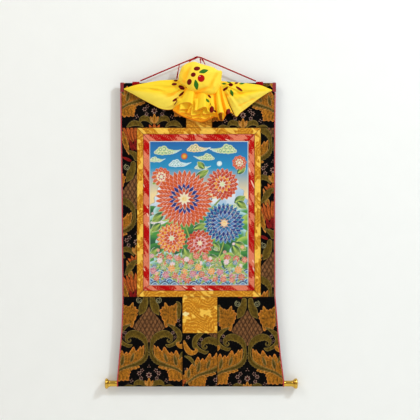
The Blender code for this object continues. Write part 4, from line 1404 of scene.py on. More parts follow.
def crimson_finish():
    """Crimson satin with hatched salmon clouds and pale petals."""
    satin = bpy.context.scene.scroll_border
    finish = Finish("crimson brocade")
    x, _, z = finish.place()
    patch = finish.noise(40.0, 2.0)
    thread = finish.noise(1500.0, 2.0, (1.0, 1.0, 0.12))
    cloud = finish.field("cloud")
    line = finish.field("line").inside(0.6)
    pale = cloud.inside(0.6)
    near = cloud.step(-13.0, -3.0)
    hatch = ((x + z) * (math.tau / 5.6)).math("SINE").step(-0.4, 0.6)
    figure = finish.mix(0.25 + hatch * 0.6, satin.salmon_dark, satin.salmon)
    figure = finish.mix(line * 0.6, figure, satin.salmon_dark)
    ground = finish.mix(line * near * 0.55, satin.crimson, satin.salmon)
    colour = finish.mix(pale, ground, figure)
    colour = finish.mix(finish.field("petals").inside(0.5), colour, satin.petal)
    colour = finish.tone(colour, 0.72 + patch * 0.28 + thread * 0.14)
    colour = seam_shade(finish, colour, 0.35)
    finish.bump(line * -0.6 + pale * 0.6 + thread * 0.4, 0.2)
    reverse = finish.tone(linear(120, 24, 26), 0.8 + thread * 0.3)
    return finish.set(
        base_color=reverse_side(finish, colour, reverse),
        roughness=0.7,
        specular_ior_level=0.1,
    )


def painted_finish():
    """Paint on cotton, with dark and pale outlines."""
    finish = Finish("painted cotton")
    x, _, z = finish.place()
    grain = finish.noise(420.0, 3.0)
    canvas = weave_height(x, z, 0.9)
    ink = finish.field("ink").inside(0.35)
    chalk = finish.field("chalk").inside(0.35)
    colour = finish.mix(chalk * 0.7, finish.colours("paint"), PAINT["white"])
    colour = finish.mix(ink * 0.8, colour, linear(40, 26, 26))
    colour = finish.tone(colour, 0.82 + grain * 0.2)
    colour = seam_shade(finish, colour, 0.6)
    finish.bump(canvas * 0.4 + grain * 0.4 + chalk * 0.3, 0.12)
    reverse = finish.tone(linear(196, 184, 158), 0.85 + grain * 0.2)
    return finish.set(base_color=reverse_side(finish, colour, reverse), roughness=0.62 + grain * 0.1)


def binding_finish():
    """Plain red cotton, darker over the batten's ends."""
    yarn = bpy.context.scene.scroll_brocade
    finish = Finish("red binding")
    x, _, z = finish.place()
    grain = finish.noise(700.0, 2.0)
    shaded = z.step(-150.0, -140.0)
    colour = finish.tone(yarn.binding, (0.75 + grain * 0.5) * (1.0 - shaded * 0.5))
    finish.bump(weave_height(x, z, 0.6) * 0.5 + grain * 0.5, 0.15)
    return finish.set(base_color=colour, roughness=0.7, sheen_weight=0.2)


def cord_finish():
    """Red silk fibre."""
    hardware = bpy.context.scene.scroll_hardware
    finish = Finish("red cord")
    fibre = finish.noise(1200.0, 3.0)
    patch = finish.noise(90.0, 1.0)
    colour = finish.tone(hardware.cord, 0.55 + fibre * 0.5 + patch * 0.3)
    finish.bump(fibre, 0.25)
    return finish.set(base_color=colour, roughness=0.75, specular_ior_level=0.1)


def wood_finish():
    """Plain softwood with its grain along X."""
    hardware = bpy.context.scene.scroll_hardware
    finish = Finish("wood")
    grain = finish.noise(70.0, 5.0, (0.15, 1.0, 1.0))
    fine = finish.noise(900.0, 3.0, (0.05, 1.0, 1.0))
    colour = finish.tone(hardware.wood, 0.6 + grain * 0.6 + fine * 0.25)
    finish.bump(grain * 0.5 + fine * 0.5, 0.2)
    return finish.set(base_color=colour, roughness=0.5 + fine * 0.2)


def brass_finish():
    """Polished brass with faint lathe lines."""
    hardware = bpy.context.scene.scroll_hardware
    finish = Finish("brass")
    haze = finish.noise(45.0, 3.0)
    lathe = finish.noise(2600.0, 1.0, (1.0, 0.02, 0.02))
    colour = finish.tone(hardware.brass, 0.86 + haze * 0.2)
    finish.bump(lathe, 0.02)
    return finish.set(base_color=colour, metallic=1.0, roughness=0.1 + haze * 0.1)


def silk_finish():
    """Thin glossy silk: painted orange shade in its hollows, a dark hem, printed figures and a faint painted
    glow between them.
    """
    veil = bpy.context.scene.scroll_veil
    finish = Finish("yellow silk")
    thread = finish.noise(1800.0, 2.0, (1.0, 1.0, 0.15))
    cloudy = finish.noise(30.0, 2.0)
    # Painted shade: orange laid in the folds and hollows of the silk
    fold_shade = finish.field("fold_shade").step(0.0, 1.0)
    hem = finish.field("hem").inside(0.6)
    colour = finish.mix(finish.field("pale") * 0.45, veil.silk, veil.pale)
    colour = finish.mix(fold_shade * 0.8, colour, veil.shade)
    colour = finish.mix(hem * 0.8, colour, linear(206, 78, 10))
    bare = 1.0
    for name in ("leaf", "maroon", "berry"):
        mask = finish.field(name).inside(0.5)
        colour = finish.mix(mask, colour, getattr(veil, name))
        bare = (1.0 - mask) * bare
    # Painted light: a faint orange glow, strongest in the hollows and on the silk's reverse and kept off the
    # print, stands in for light shining through the thin silk
    inner = Value(finish, finish.node("NewGeometry").outputs["Backfacing"])
    glow = (0.1 + fold_shade * 0.6 + inner * 0.3) * bare
    colour = finish.tone(colour, 0.92 + cloudy * 0.1 + thread * 0.06)
    finish.bump(thread * 0.6 + cloudy * 0.4, 0.15)
    return finish.set(
        base_color=colour,
        roughness=0.45 + thread * 0.12,
        specular_ior_level=0.16,
        emission_color=finish.mix(glow, linear(0, 0, 0), veil.shade),
        emission_strength=0.24,
    )


# The mount's pieces


def rows_between(high, low, pitch=20.0):
    """The flat sheet's section between two heights, as y, z."""
    count = max(1, math.ceil(abs(high - low) / pitch))
    return [(SHEET_Y, high + (low - high) * i / count) for i in range(count + 1)]


def yarns(name):
    """The yarn fields of a black panel, by where its cloth was cut."""
    axis, scroll_z = CUTS[name]
    return lambda x, z: Yarns(x, z, axis, scroll_z).weave()


def sewn_panel(name, section, left, right, sewn, flat_start, finish, figures, slot_name, step=PANEL_STEP):
    """A panel of cloth that hangs from the batten, with a seam along each side that is sewn."""
    made, length = mount_panel(f"cloth_{name}", section, left, right, sewn, flat_start, step, figures)
    move_in(made, finish, [name])
    middle = np.float64(section[len(section) // 2][1])
    width = float(right(middle) - left(middle))
    length * MM


class SCROLL_OT_brocade(bpy.types.Operator):
    """Weave the black brocade panels and the two gold pieces between them"""

    bl_idname = "scroll.brocade"
    bl_label = "Brocade mount"

    def execute(self, context):
        finishes = {"black brocade": brocade_finish(), "gold brocade": gold_finish()}
        context.scene.scroll_gold = finishes["gold brocade"]
        top = top_sleeve() + rows_between(FLAT_START, TOP_SEAM)
        top_start = TOP_SEAM + float(run_along(top)[-1])
        side = rows_between(TOP_SEAM, BOTTOM_SEAM)
        low = rows_between(BOTTOM_SEAM, FLAT_END) + bottom_sleeve()
        under_door = rows_between(DOOR_BOTTOM, FLAT_END) + bottom_sleeve()
        door = rows_between(BOTTOM_SEAM, DOOR_BOTTOM)
        strip_left, strip_right = fixed(STRIP_LEFT), fixed(STRIP_RIGHT)
        frame_left, frame_right = fixed(FRAME_CENTRE - GOLD_HALF_WIDTH), fixed(FRAME_CENTRE + GOLD_HALF_WIDTH)
        door_left, door_right = fixed(DOOR_LEFT), fixed(DOOR_RIGHT)
        # Each panel: name, section, left and right edge, sewn sides, where its flat cloth starts
        panels = (
            ("brocade_top_left", top, cloth_left, strip_left, ("right", "bottom"), top_start),
            ("gold_strip", top, strip_left, strip_right, ("left", "right", "bottom"), top_start),
            ("brocade_top_right", top, strip_right, cloth_right, ("left", "bottom"), top_start),
            ("brocade_side_left", side, cloth_left, frame_left, ("top", "bottom", "right"), TOP_SEAM),
            ("brocade_side_right", side, frame_right, cloth_right, ("top", "bottom", "left"), TOP_SEAM),
            ("brocade_low_left", low, cloth_left, door_left, ("right", "top"), BOTTOM_SEAM),
            ("brocade_low_middle", under_door, door_left, door_right, ("left", "right", "top"), DOOR_BOTTOM),
            ("brocade_low_right", low, door_right, cloth_right, ("left", "top"), BOTTOM_SEAM),
            ("gold_door", door, door_left, door_right, ALL_SIDES, BOTTOM_SEAM),
        )
        for name, *form in panels:
            slot_name = "black brocade" if name in CUTS else "gold brocade"
            figures = yarns(name) if name in CUTS else gold_figures
            sewn_panel(name, *form, finishes[slot_name], figures, slot_name)
        return {"FINISHED"}


class SCROLL_OT_picture(bpy.types.Operator):
    """Paint the picture panel"""

    bl_idname = "scroll.picture"
    bl_label = "Picture"

    def execute(self, context):
        sewn_panel(
            "painting",
            rows_between(PICTURE_TOP, PICTURE_BOTTOM),
            fixed(FRAME_CENTRE - PICTURE_HALF_WIDTH),
            fixed(FRAME_CENTRE + PICTURE_HALF_WIDTH),
            ALL_SIDES,
            PICTURE_TOP,
            painted_finish(),
            lambda x, z: paint_garden(x - FRAME_CENTRE, PICTURE_TOP - z),
            "painted cotton",
            PICTURE_STEP,
        )
        return {"FINISHED"}


def border_strip(satin, side, outer, inner, finish, figures):
    """One mitred strip between two rectangles of (half width, top, bottom)."""
    outer_half, outer_top, outer_bottom = outer
    inner_half, inner_top, inner_bottom = inner
    level = side in ("top", "bottom")
    long_edge = 2 * outer_half if level else outer_top - outer_bottom
    deep = outer_half - inner_half

    def place(across, down):
        if level:
            share = down if side == "top" else 1 - down
            reach = outer_half + (inner_half - outer_half) * share
            x = FRAME_CENTRE + reach * (2 * across - 1)
            high, low = (outer_top, inner_top) if side == "top" else (inner_bottom, outer_bottom)
            from_mitre = np.minimum(across, 1 - across) * 2 * reach
        else:
            share = across if side == "left" else 1 - across
            outward = -1 if side == "left" else 1
            x = FRAME_CENTRE + outward * (outer_half + (inner_half - outer_half) * share)
            high = outer_top + (inner_top - outer_top) * share
            low = outer_bottom + (inner_bottom - outer_bottom) * share
            from_mitre = np.minimum(down, 1 - down) * (high - low)
        z = high + (low - high) * down
        rim = np.minimum(np.minimum(share, 1 - share) * deep, from_mitre * 0.75)
        y = SHEET_Y + hang(x, z) + seam_dip(rim, x, z)
        # The satin runs along the strip
        turned = (x, z) if level else (z, x)
        return (x, y, z), {"rim": rim, **figures(*turned)}

    steps, size = (round(long_edge / BORDER_STEP), round(deep / BORDER_STEP)), (long_edge - deep, deep)
    if not level:
        steps, size = steps[::-1], size[::-1]
    made = grid(f"cloth_{satin}_border_{side}", *steps, place)
    move_in(made, finish, [f"{satin}_border_{side}"])
    size[0] * MM
    size[1] * MM


class SCROLL_OT_borders(bpy.types.Operator):
    """Sew the crimson and the gold border round the picture"""

    bl_idname = "scroll.borders"
    bl_label = "Borders"

    def execute(self, context):
        picture = (PICTURE_HALF_WIDTH, PICTURE_TOP, PICTURE_BOTTOM)
        crimson = (CRIMSON_HALF_WIDTH, CRIMSON_TOP, CRIMSON_BOTTOM)
        gold = (GOLD_HALF_WIDTH, TOP_SEAM, BOTTOM_SEAM)
        red_satin = crimson_finish()
        for side in ("top", "bottom", "left", "right"):
            border_strip("crimson", side, crimson, picture, red_satin, crimson_figures)
            border_strip("gold", side, gold, crimson, context.scene.scroll_gold, gold_figures)
        return {"FINISHED"}


def edge_binding(side, column, outward, finish):
    """The narrow binding folded over one side edge, down the sheet and round the roller."""
    section = rows_between(BATTEN_TOP - COVER_HEIGHT, FLAT_END) + bottom_sleeve()
    ys = np.array([y for y, z in section])
    zs = np.array([z for y, z in section])
    run = run_along(section)

    def place(across, down):
        gone = down * run[-1]
        y, z = np.interp(gone, run, ys), np.interp(gone, run, zs)
        slope_y = np.interp(gone, run, np.gradient(ys, run))
        slope_z = np.interp(gone, run, np.gradient(zs, run))
        slope = np.hypot(slope_y, slope_z)
        turn = (across - 0.5) * 1.7 * math.pi
        out = np.cos(turn) * BINDING_WIDTH * 0.5
        proud = np.sin(turn) * (1.5 + 0.12 * np.sin(gone / 2.2))
        x = edge(column, z, -outward * BINDING_WIDTH * 0.5) + outward * out
        y = y + hang(x, z) + proud * slope_z / slope * -outward
        z = z - proud * slope_y / slope * -outward
        return (x, y, z), {}

    made = grid(f"binding_{side}", BINDING_COLUMNS, round(run[-1] / BINDING_STEP), place)
    move_in(made, finish, [f"edge_binding_{side}"])


def over_batten(reach, top, foot, corner, bend):
    """A path up the front of the batten's sleeve, over it and down its back, as y, z."""
    front = [(-reach, foot), (-reach, top - 4.0), (-reach + bend, top - 1.2), (-reach + corner, top)]
    return front + [(-y, z) for y, z in front[::-1]]


def batten_cap(side, end, inward, finish):
    """The red cover wrapped over one end of the sleeve, drawn in at its outer edge."""
    reach = -SHEET_Y + CLOTH / 2 + GAP + COVER_STANDOFF
    top = SLEEVE_TOP + GAP + COVER_STANDOFF
    path = over_batten(reach, top, top - COVER_HEIGHT, 4.0, 1.2)
    run = run_along(path)

    def place(across, down):
        gone = (1 - down) * run[-1]
        y = np.interp(gone, run, [p[0] for p in path])
        z = np.interp(gone, run, [p[1] for p in path])
        close = np.clip(1 - across / 0.18, 0.0, 1.0)
        x = end + inward * across * COVER_WIDTH
        y = y * (1 - 0.16 * close**2) + 0.25 * np.sin(gone / 3.1)
        z = z - 1.2 * close**2
        return (x, y, z), {}

    made = grid(f"batten_cap_{side}", *COVER_GRID, place)
    move_in(made, finish, [f"batten_cover_{side}"])


class SCROLL_OT_bindings(bpy.types.Operator):
    """Fold the red bindings over the side edges and the ends of the batten's sleeve"""

    bl_idname = "scroll.bindings"
    bl_label = "Bindings"

    def execute(self, context):
        finish = binding_finish()
        edge_binding("left", 1, -1, finish)
        edge_binding("right", 2, 1, finish)
        batten_cap("left", COVER_LEFT_END, 1, finish)
        batten_cap("right", COVER_RIGHT_END, -1, finish)
        return {"FINISHED"}


# Veil


def relief(folds, x, z):
    """The rise of the cloth at a point, summed over folds that fade out past their two ends."""
    total = 0.0
    for x0, z0, x1, z1, width, rise in folds:
        dx, dz = x1 - x0, z1 - z0
        share = ((x - x0) * dx + (z - z0) * dz) / (dx * dx + dz * dz)
        near = min(max(share, 0.0), 1.0)
        distance = math.hypot(x - x0 - near * dx, z - z0 - near * dz)
        fade = 0.35 + 0.65 * math.sin(math.pi * near)
        total += rise * fade * math.exp(-((distance / width) ** 2))
    return total


def relief_at(folds, x, z):
    """The same at many points."""
    return np.array([relief(folds, a, b) for a, b in zip(x, z)])


def wing(rows, across, down):
    """A point of a wing, from its tip at across 0, with its upper edge rolled back over."""
    x, top, bottom, y = along(rows, across)
    nose = min(WING_NOSE, (top - bottom) * 0.3)
    if down < WING_ROLLED_SHARE:
        turn = (1 - down / WING_ROLLED_SHARE) * math.pi * 0.5
        z = top - nose + nose * math.sin(turn) * 0.9
        y = y + nose * (1 - math.cos(turn))
    else:
        share = (down - WING_ROLLED_SHARE) / (1 - WING_ROLLED_SHARE)
        z = top - nose + (bottom - top + nose) * share
        bulge = WING_BULGE * math.sin(math.pi * share) * min(1.0, (top - bottom) / WING_BULGE_HEIGHT)
        y = y - bulge + WING_LEAN * share**3
        y -= relief(WING_FOLDS, x, z) * smooth_step((top - bottom) / WING_FOLD_HEIGHT)
    return x, y, z


def puff(turn, depth):
    """A point of the puff: turn is the share of the way round it, depth the angle from its front."""
    x, z = along(PUFF_OUTLINE, turn, closed=True)
    angle = math.radians(depth)
    front = depth < PUFF_EDGE_ANGLE
    spread = math.sin(angle) ** (PUFF_FULLNESS if front else 1.0)
    x = PUFF_CENTRE[0] + (x - PUFF_CENTRE[0]) * spread
    z = PUFF_CENTRE[1] + (z - PUFF_CENTRE[1]) * spread
    y = PUFF_RIM_Y - (PUFF_FRONT_DEPTH if front else PUFF_BACK_DEPTH) * math.cos(angle)
    if front:
        y -= relief(PUFF_FOLDS, x, z) * smooth_step((PUFF_EDGE_ANGLE - depth) / PUFF_FOLD_FADE)
    return x, y, z


def fall(across, down):
    """A point of the fluted fall, between its gathered neck and its hem."""
    neck_x, neck_y, neck_z, hem_x, hem_y, hem_z = along(FALL, across)
    flare = down**FALL_FLARE
    front = smooth_step((FALL_FRONT_Y - hem_y) / FALL_FRONT_FADE)
    x = neck_x + (hem_x - neck_x) * flare
    y = neck_y + (hem_y - neck_y) * down - FALL_BULGE * front * math.sin(math.pi * down)
    z = neck_z + (hem_z - neck_z) * down
    return x, y, z


# Printed figures: across x and z at the middle, half length, half width, tilt in degrees
PUFF_PRINT = {
    "maroon": [(-5, -52, 13.2, 8.8, 8), (-20, -77, 10.4, 9.0, 24), (-36, -106, 12.5, 9.5, 72)],
    "berry": [(12, -92, 14.4, 14.8, 0)],
    "leaf": [(22, -63, 20.0, 9.0, 14), (-8, -118, 21.5, 9.6, -80)],
}
LEFT_PRINT = {
    "maroon": [(-92, -98, 8.0, 4.0, 0), (-98, -113, 11.0, 5.5, 5), (-68, -127, 14.0, 8.0, -30),
               (-44, -131, 8, 4, -25), (-40, -143, 8, 3, 0), (-68, -153, 15, 5, 40),
               (-93, -176, 14, 5, 30), (-68, -175, 12, 4, 60), (-90, -186, 16, 2, 55)],
    "berry": [],
    "leaf": [(-47, -159, 11.0, 6.0, -25)],
}
RIGHT_PRINT = {
    "maroon": [(133, -115, 9.0, 7.5, 0), (156, -108, 8.0, 4.0, 15), (110, -133, 14.0, 5.0, 35),
               (167, -132, 17, 5, -35)],
    "berry": [],
    "leaf": [(125, -104, 10.0, 4.0, -20), (105, -111, 10.0, 4.0, 0), (178, -110, 13.0, 4.0, 8),
             (137, -149, 15, 7, -70)],
}
FALL_PRINT = {
    "maroon": [(46, -164, 9.0, 4.0, -45), (50, -195, 13.0, 1.5, -70), (55, -217, 13.5, 9.5, 80),
               (68, -224, 7, 4, -30), (122, -228, 15, 9.5, 75), (143, -242, 7, 3, -60)],
    "berry": [],
    "leaf": [(38, -181, 10.0, 5.5, -50)],
}


def printed(x, z, figures, front):
    """Fields of the printed figures on the front of a part of the veil."""
    fields = {}
    for name, rows in figures.items():
        field = np.full(x.shape, -FAR)
        for cx, cz, long_half, half, tilt in rows:
            turn = math.radians(tilt)
            run = (x - cx) * math.cos(turn) + (z - cz) * math.sin(turn)
            side = (z - cz) * math.cos(turn) - (x - cx) * math.sin(turn)
            power = 1.35 if name == "leaf" else 2.0
            far = (np.abs(run / long_half) ** power + np.abs(side / half) ** power) ** (1 / power)
            field = np.maximum(field, (1 - far) * half)
        fields[name] = np.where(front, field, -FAR)
    return fields


def silk_patch(name, columns, rows, point, figures, look):
    """A part of the veil from point(across, down), folded further and tinted by look, with its print."""

    def place(across, down):
        spots = np.array([point(a, d) for a, d in zip(across, down)])
        points, fields = look(across, down, *spots.T)
        front = fields.pop("front", np.ones(across.shape, dtype=bool))
        return points, {**fields, **printed(points[0], points[2], figures, front)}

    return grid(name, columns, rows, place)


# Where each wing is gathered, as x, z
GATHER = {"left": (-38.0, -118.0), "right": (98.0, -112.0)}
# Ruffles of silk inside the fall's mouth: left x, right x, neck z, hem z, drop of the middle, y, depth of
# the curls, curls, start
RUFFLES = [
    (-88, 52, -172, -212, 10, -50, 13, 2.3, 0.6),
    (-74, 66, -178, -229, 13, -42, 11, 2.9, 2.4),
    (-52, 76, -186, -245, 12, -34, 6, 3.4, 4.2),
]


def gathers(x, z, centre, fade):
    """The height of small folds that run out from a gathered point."""
    dx, dz = x - centre[0], z - centre[1]
    turn = np.arctan2(dz, np.abs(dx))
    far = np.hypot(dx, dz)
    wave = np.sin(turn * 17.0 + 0.6 * np.sin(far / 40.0)) + 0.6 * np.sin(turn * 31.0 + 1.0)
    strength = np.exp(-far / fade) * smooth_step(far / 25.0)
    return wave * strength


def ruffle(row, across, down):
    """Points of a wavy band of silk, whose hem curls forward and back."""
    left, right, neck, hem, drop, y, depth, curls, start = row
    swing = across * curls * math.tau + start
    x = left + (right - left) * across + depth * 0.9 * np.sin(swing + 1.2) * down
    z = neck + (hem - neck) * down - drop * np.sin(math.pi * across) * down + 2.5 * np.sin(swing * 1.7) * down
    y = y + depth * np.cos(swing) * down
    return x, y, z


# Golden bands on the silk, where it turns from the light: x, z, x, z, half width, strength
WING_BANDS = [
    (-236, -152, -104, -180, 19, 0.75),
    (-170, -112, -96, -112, 5, 0.35),
    (-250, -134, -160, -124, 4, 0.4),
    (118, -128, 240, -126, 9, 0.5),
    (104, -150, 130, -170, 9, 0.4),
]
PUFF_BANDS = [
    (-60, -58, -50, -112, 12, 0.6),
    (-24, -141, 36, -141, 7, 0.6),
    (40, -140, 78, -116, 8, 0.4),
]


def wing_look(side):
    """Gathers a wing further, and gives its painted shade in the hollows, its hem and its paler lower part.
    """

    def look(across, down, x, y, z):
        wave = gathers(x, z, GATHER[side], 95.0) * smooth_step(down / 0.2)
        share = across if side == "left" else 1 - across
        near = smooth_step((share - 0.86) / 0.14)
        from_edge = (1 - down) * 100.0
        hem = np.maximum(1.2 - from_edge, 0.3 - np.abs(from_edge - 7.0))
        hem = np.where(share < 0.985, hem, -FAR)
        pale = smooth_step((down - 0.45) / 0.2) * smooth_step((1.0 - share) / 0.3)
        fold_shade = 0.06 - relief_at(WING_FOLDS, x, z) / 5.0 - 0.7 * wave + 0.4 * near
        fold_shade = fold_shade + relief_at(WING_BANDS, x, z)
        return (x, y - 3.4 * wave, z), {"fold_shade": fold_shade, "hem": hem, "pale": pale}

    return look


def fall_look(across, down, x, y, z):
    """Ripples the fall, with painted shade that is deeper inside its tubes than on its front."""
    level = np.interp(across, np.linspace(0, 1, len(FALL)), [row[4] for row in FALL])
    fold_shade = smooth_step((level + 62.0) / 26.0) * (0.36 + 0.3 * down) + 0.6 * (1 - down) ** 2
    ripple = np.sin(across * 150.0) * down * 0.8
    hem = 3.0 - (1 - down) * 110.0
    fields = {"fold_shade": fold_shade, "hem": hem, "pale": 0.0 * x, "front": level < -30.0}
    return (x, y + ripple, z), fields


def puff_look(across, down, x, y, z):
    """Pleats the puff's rim, with painted shade below and in its folds."""
    low = smooth_step((-130.0 - z) / 30.0) * smooth_step((y + 70.0) / 26.0)
    turn = np.arctan2(z - PUFF_CENTRE[1], x - PUFF_CENTRE[0])
    pleat = np.sin(turn * 11.0 + 0.8) * smooth_step((down - 0.35) / 0.35) * smooth_step((1.0 - down) / 0.2)
    fold_shade = 0.5 * low - relief_at(PUFF_FOLDS, x, z) / 10.0 + 0.12 * pleat + relief_at(PUFF_BANDS, x, z)
    fields = {"fold_shade": fold_shade, "hem": 0.0 * x - FAR, "pale": 0.0 * x + 0.5, "front": down < 0.72}
    return (x, y + 1.6 * pleat, z), fields


def ruffle_look(across, down, x, y, z):
    """Painted shade, in deep colour, on the ruffles that lie furthest back."""
    inner = smooth_step((y + 50.0) / 26.0)
    hem = 2.2 - (1 - down) * 50.0
    return (x, y, z), {"fold_shade": 0.25 + 0.55 * inner * (1 - 0.4 * down), "hem": hem, "pale": 0.0 * x}


def puff_point(across, down):
    """A point of the puff by shares of its grid."""
    return puff(across, max(0.5, down * PUFF_BACK_ANGLE))


def left_point(across, down):
    """A point of the left wing, from its tip."""
    return wing(LEFT_WING, across, down)


def right_point(across, down):
    """A point of the right wing, from the puff."""
    return wing(RIGHT_WING, 1 - across, down)


class SCROLL_OT_veil(bpy.types.Operator):
    """Gather the printed silk veil in front of the batten"""

    bl_idname = "scroll.veil"
    bl_label = "Veil"

    def execute(self, context):
        finish = silk_finish()
        patches = [
            silk_patch("veil_left", *WING_GRID, left_point, LEFT_PRINT, wing_look("left")),
            silk_patch("veil_right", *WING_GRID, right_point, RIGHT_PRINT, wing_look("right")),
            silk_patch("veil_fall", *FALL_GRID, fall, FALL_PRINT, fall_look),
            silk_patch("veil_puff", *PUFF_GRID, puff_point, PUFF_PRINT, puff_look),
        ]
        plain = {name: [] for name in PUFF_PRINT}
        for i, row in enumerate(RUFFLES):
            point = functools.partial(ruffle, row)
            patches.append(silk_patch(f"veil_ruffle_{i}", *RUFFLE_GRID, point, plain, ruffle_look))
        whole = patches[0]
        whole.name = "silk_veil"
        with context.temp_override(
            active_object=whole, object=whole, selected_objects=patches, selected_editable_objects=patches
        ):
            bpy.ops.object.join()
        move_in(whole, finish, ["veil"])
        return {"FINISHED"}


# Cords


def tie_route(x, end, bow):
    """From under the hanging cord at x to the tie's end, over a middle that stands forward and rises."""
    under = (CORD_DIAMETER + TIE_DIAMETER) / 2 + GAP
    z = float(np.interp(x, [row[0] for row in CORD_ROUTE], [row[2] for row in CORD_ROUTE])) - under
    forward, rise = bow
    return [(x, 0.0, z), ((x + end[0]) / 2, end[1] * forward, (z + end[2]) / 2 + rise), end]


def cord_routes():
    """Route, diameter and lay of the hanging cord and of each tie."""
    clear = TIE_DIAMETER / 2 + SILK / 2 + GAP
    routes = {"hang_cord": (CORD_ROUTE, CORD_DIAMETER, "taut")}
    for name, (x, turn) in TIES.items():
        top_x, top_y, top_z = puff(turn, PUFF_TOP_ANGLE)
        routes[name] = (tie_route(x, (top_x, top_y, top_z + clear), TIE_BOW), TIE_DIAMETER, "hanging")
    wing_x, tops, _, wing_ys = zip(*sorted(LEFT_WING))
    top, wing_y = (float(np.interp(DROP_TIE_FOOT_X, wing_x, column)) for column in (tops, wing_ys))
    end = (DROP_TIE_FOOT_X, wing_y + WING_NOSE * 0.4, top + clear)
    routes["drop_tie"] = (tie_route(DROP_TIE_TOP_X, end, DROP_TIE_BOW), TIE_DIAMETER, "hanging")
    return routes


def lashing(side, middle, finish):
    """Turns of cord side by side over the batten's sleeve."""
    reach = -SHEET_Y + CLOTH / 2 + GAP + LASHING_THICKNESS / 2
    top = SLEEVE_TOP + GAP + LASHING_THICKNESS / 2
    loops = []
    for k in range(LASHING_TURNS):
        x = middle + ((k + 0.5) / LASHING_TURNS - 0.5) * LASHING_WIDTH
        low = top - LASHING_HEIGHT + 1.5 + 1.1 * math.sin(1.7 * k)
        path = [(x, y, z) for y, z in over_batten(reach, top, low, 4.2, 1.3)]
        lean = 0.8 * math.sin(2.1 * k)
        path[0] = (x + lean, *path[0][1:])
        path[-1] = (x - lean, *path[-1][1:])
        loops.append(rope(path, LASHING_WIDTH / LASHING_TURNS, sides=10, spacing=0.4))
    made = new_piece(f"lashing_turns_{side}", joined_mesh(f"lashing_{side}", loops))
    move_in(made, finish, [f"lashing_{side}"])


class SCROLL_OT_cords(bpy.types.Operator):
    """Twist the hanging cord, the ties and the lashings round the batten"""

    bl_idname = "scroll.cords"
    bl_label = "Cords"

    def execute(self, context):
        finish = cord_finish()
        spans = 30
        for name, (points, diameter, lay) in cord_routes().items():
            path = [along(points, i / spans) for i in range(spans + 1)]
            parts = [rope(path, diameter * FULLNESS)]
            if name in WHIPPINGS:
                parts.append(whipping(path, *WHIPPINGS[name]))
            made = new_piece(f"cord_{name}", joined_mesh(name, parts))
            move_in(made, finish, [name])
            [c * MM for c in path[0]]
            diameter * MM
            [[c * MM for c in p] for p in path]
        lashing("left", LASHING_LEFT, finish)
        lashing("right", LASHING_RIGHT, finish)
        return {"FINISHED"}


# Hardware

# Knob: share of its length, radius
KNOB_PROFILE = [
    (-0.02, 12.2),
    (0, 12.9),
    (0.03, 13),
    (0.06, 12.3),
    (0.2, 11.9),
    (0.46, 11.7),
    (0.56, 12.2),
    (0.62, 13.4),
    (0.68, 15.8),
    (0.73, 18.8),
    (0.755, 20.4),
    (0.765, 19.9),
    (0.78, 19.9),
    (0.79, 20.9),
    (0.82, 21.6),
    (0.87, 21.7),
    (0.91, 21.1),
    (0.93, 20.2),
    (0.94, 19.2),
    (0.95, 19),
    (0.97, 16.5),
    (0.99, 10),
    (1, 0.01),
]


def turned_knob(side, column, outward, length, brass):
    """A knob turned on the roller's axis, from the cloth's edge outward."""
    sides, spans = 72, 110
    face = float(edge(column, ROLLER_Z, 0.0)) + outward * GAP
    points, faces = [], []
    for i in range(spans + 1):
        share, radius = along(KNOB_PROFILE, i / spans)
        for k in range(sides):
            turn = k / sides * math.tau
            x = face + outward * max(share, 0.0) * length
            points.append((x, ROLLER_Y + radius * math.cos(turn), ROLLER_Z + radius * math.sin(turn)))
    for i in range(spans):
        for k in range(sides):
            after = (k + 1) % sides
            ring = (i * sides + k, i * sides + after, (i + 1) * sides + after, (i + 1) * sides + k)
            faces.append(ring if outward < 0 else ring[::-1])
    made = new_piece(f"brass_knob_{side}", joined_mesh(f"knob_{side}", [(points, faces)]))
    move_in(made, brass, [f"knob_{side}"])


class SCROLL_OT_hardware(bpy.types.Operator):
    """Turn the brass knobs and finish the batten and the roller"""

    bl_idname = "scroll.hardware"
    bl_label = "Knobs and wood"

    def execute(self, context):
        brass, wood = brass_finish(), wood_finish()
        for name in ("batten", "roller"):
            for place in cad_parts[name].material_slots:
                place.material = wood
        turned_knob("left", 1, -1, KNOB_LEFT_LENGTH, brass)
        turned_knob("right", 2, 1, KNOB_RIGHT_LENGTH, brass)
        return {"FINISHED"}


# Stage


# Places and sizes of the stage, in metres
WALL_Y, WALL_TOP, FLOOR_Z, STAGE_REACH = 0.0285, 6.0, -2.6, 12.0
MIDDLE = (0.048, 0.0, -0.627)
KEY_COLOUR, SOFT_COLOUR, SKY_COLOUR = (0.76, 0.9, 1.0), (1.0, 0.95, 0.85), (1.0, 0.975, 0.92, 1.0)
# The small light between wall and cloth
BEHIND = {"spot": (0.0, 0.0275, -0.72), "at": (0.0, -1.0, -0.72), "size": (0.6, 1.1), "power": 1.6}


def aim(target, spot, at):
    """Places a light or a camera and turns it to look at a point."""
    target.location = spot
    target.rotation_euler = (Vector(at) - Vector(spot)).to_track_quat("-Z", "Y").to_euler()


def area_light(name, spot, at, size, power, colour=(1.0, 1.0, 1.0)):
    """A rectangular light."""
    data = bpy.data.lights.new(name, "AREA")
    data.shape = "RECTANGLE"
    data.size, data.size_y = size
    data.energy = power
    data.color = colour
    made = bpy.data.objects.new(name, data)
    bpy.context.scene.collection.objects.link(made)
    aim(made, spot, at)


def plane(name, corners, material):
    """A flat piece of the stage."""
    mesh = bpy.data.meshes.new(name)
    mesh.from_pydata(corners, [], [(0, 1, 2, 3)])
    mesh.materials.append(material)
    new_piece(name, mesh)


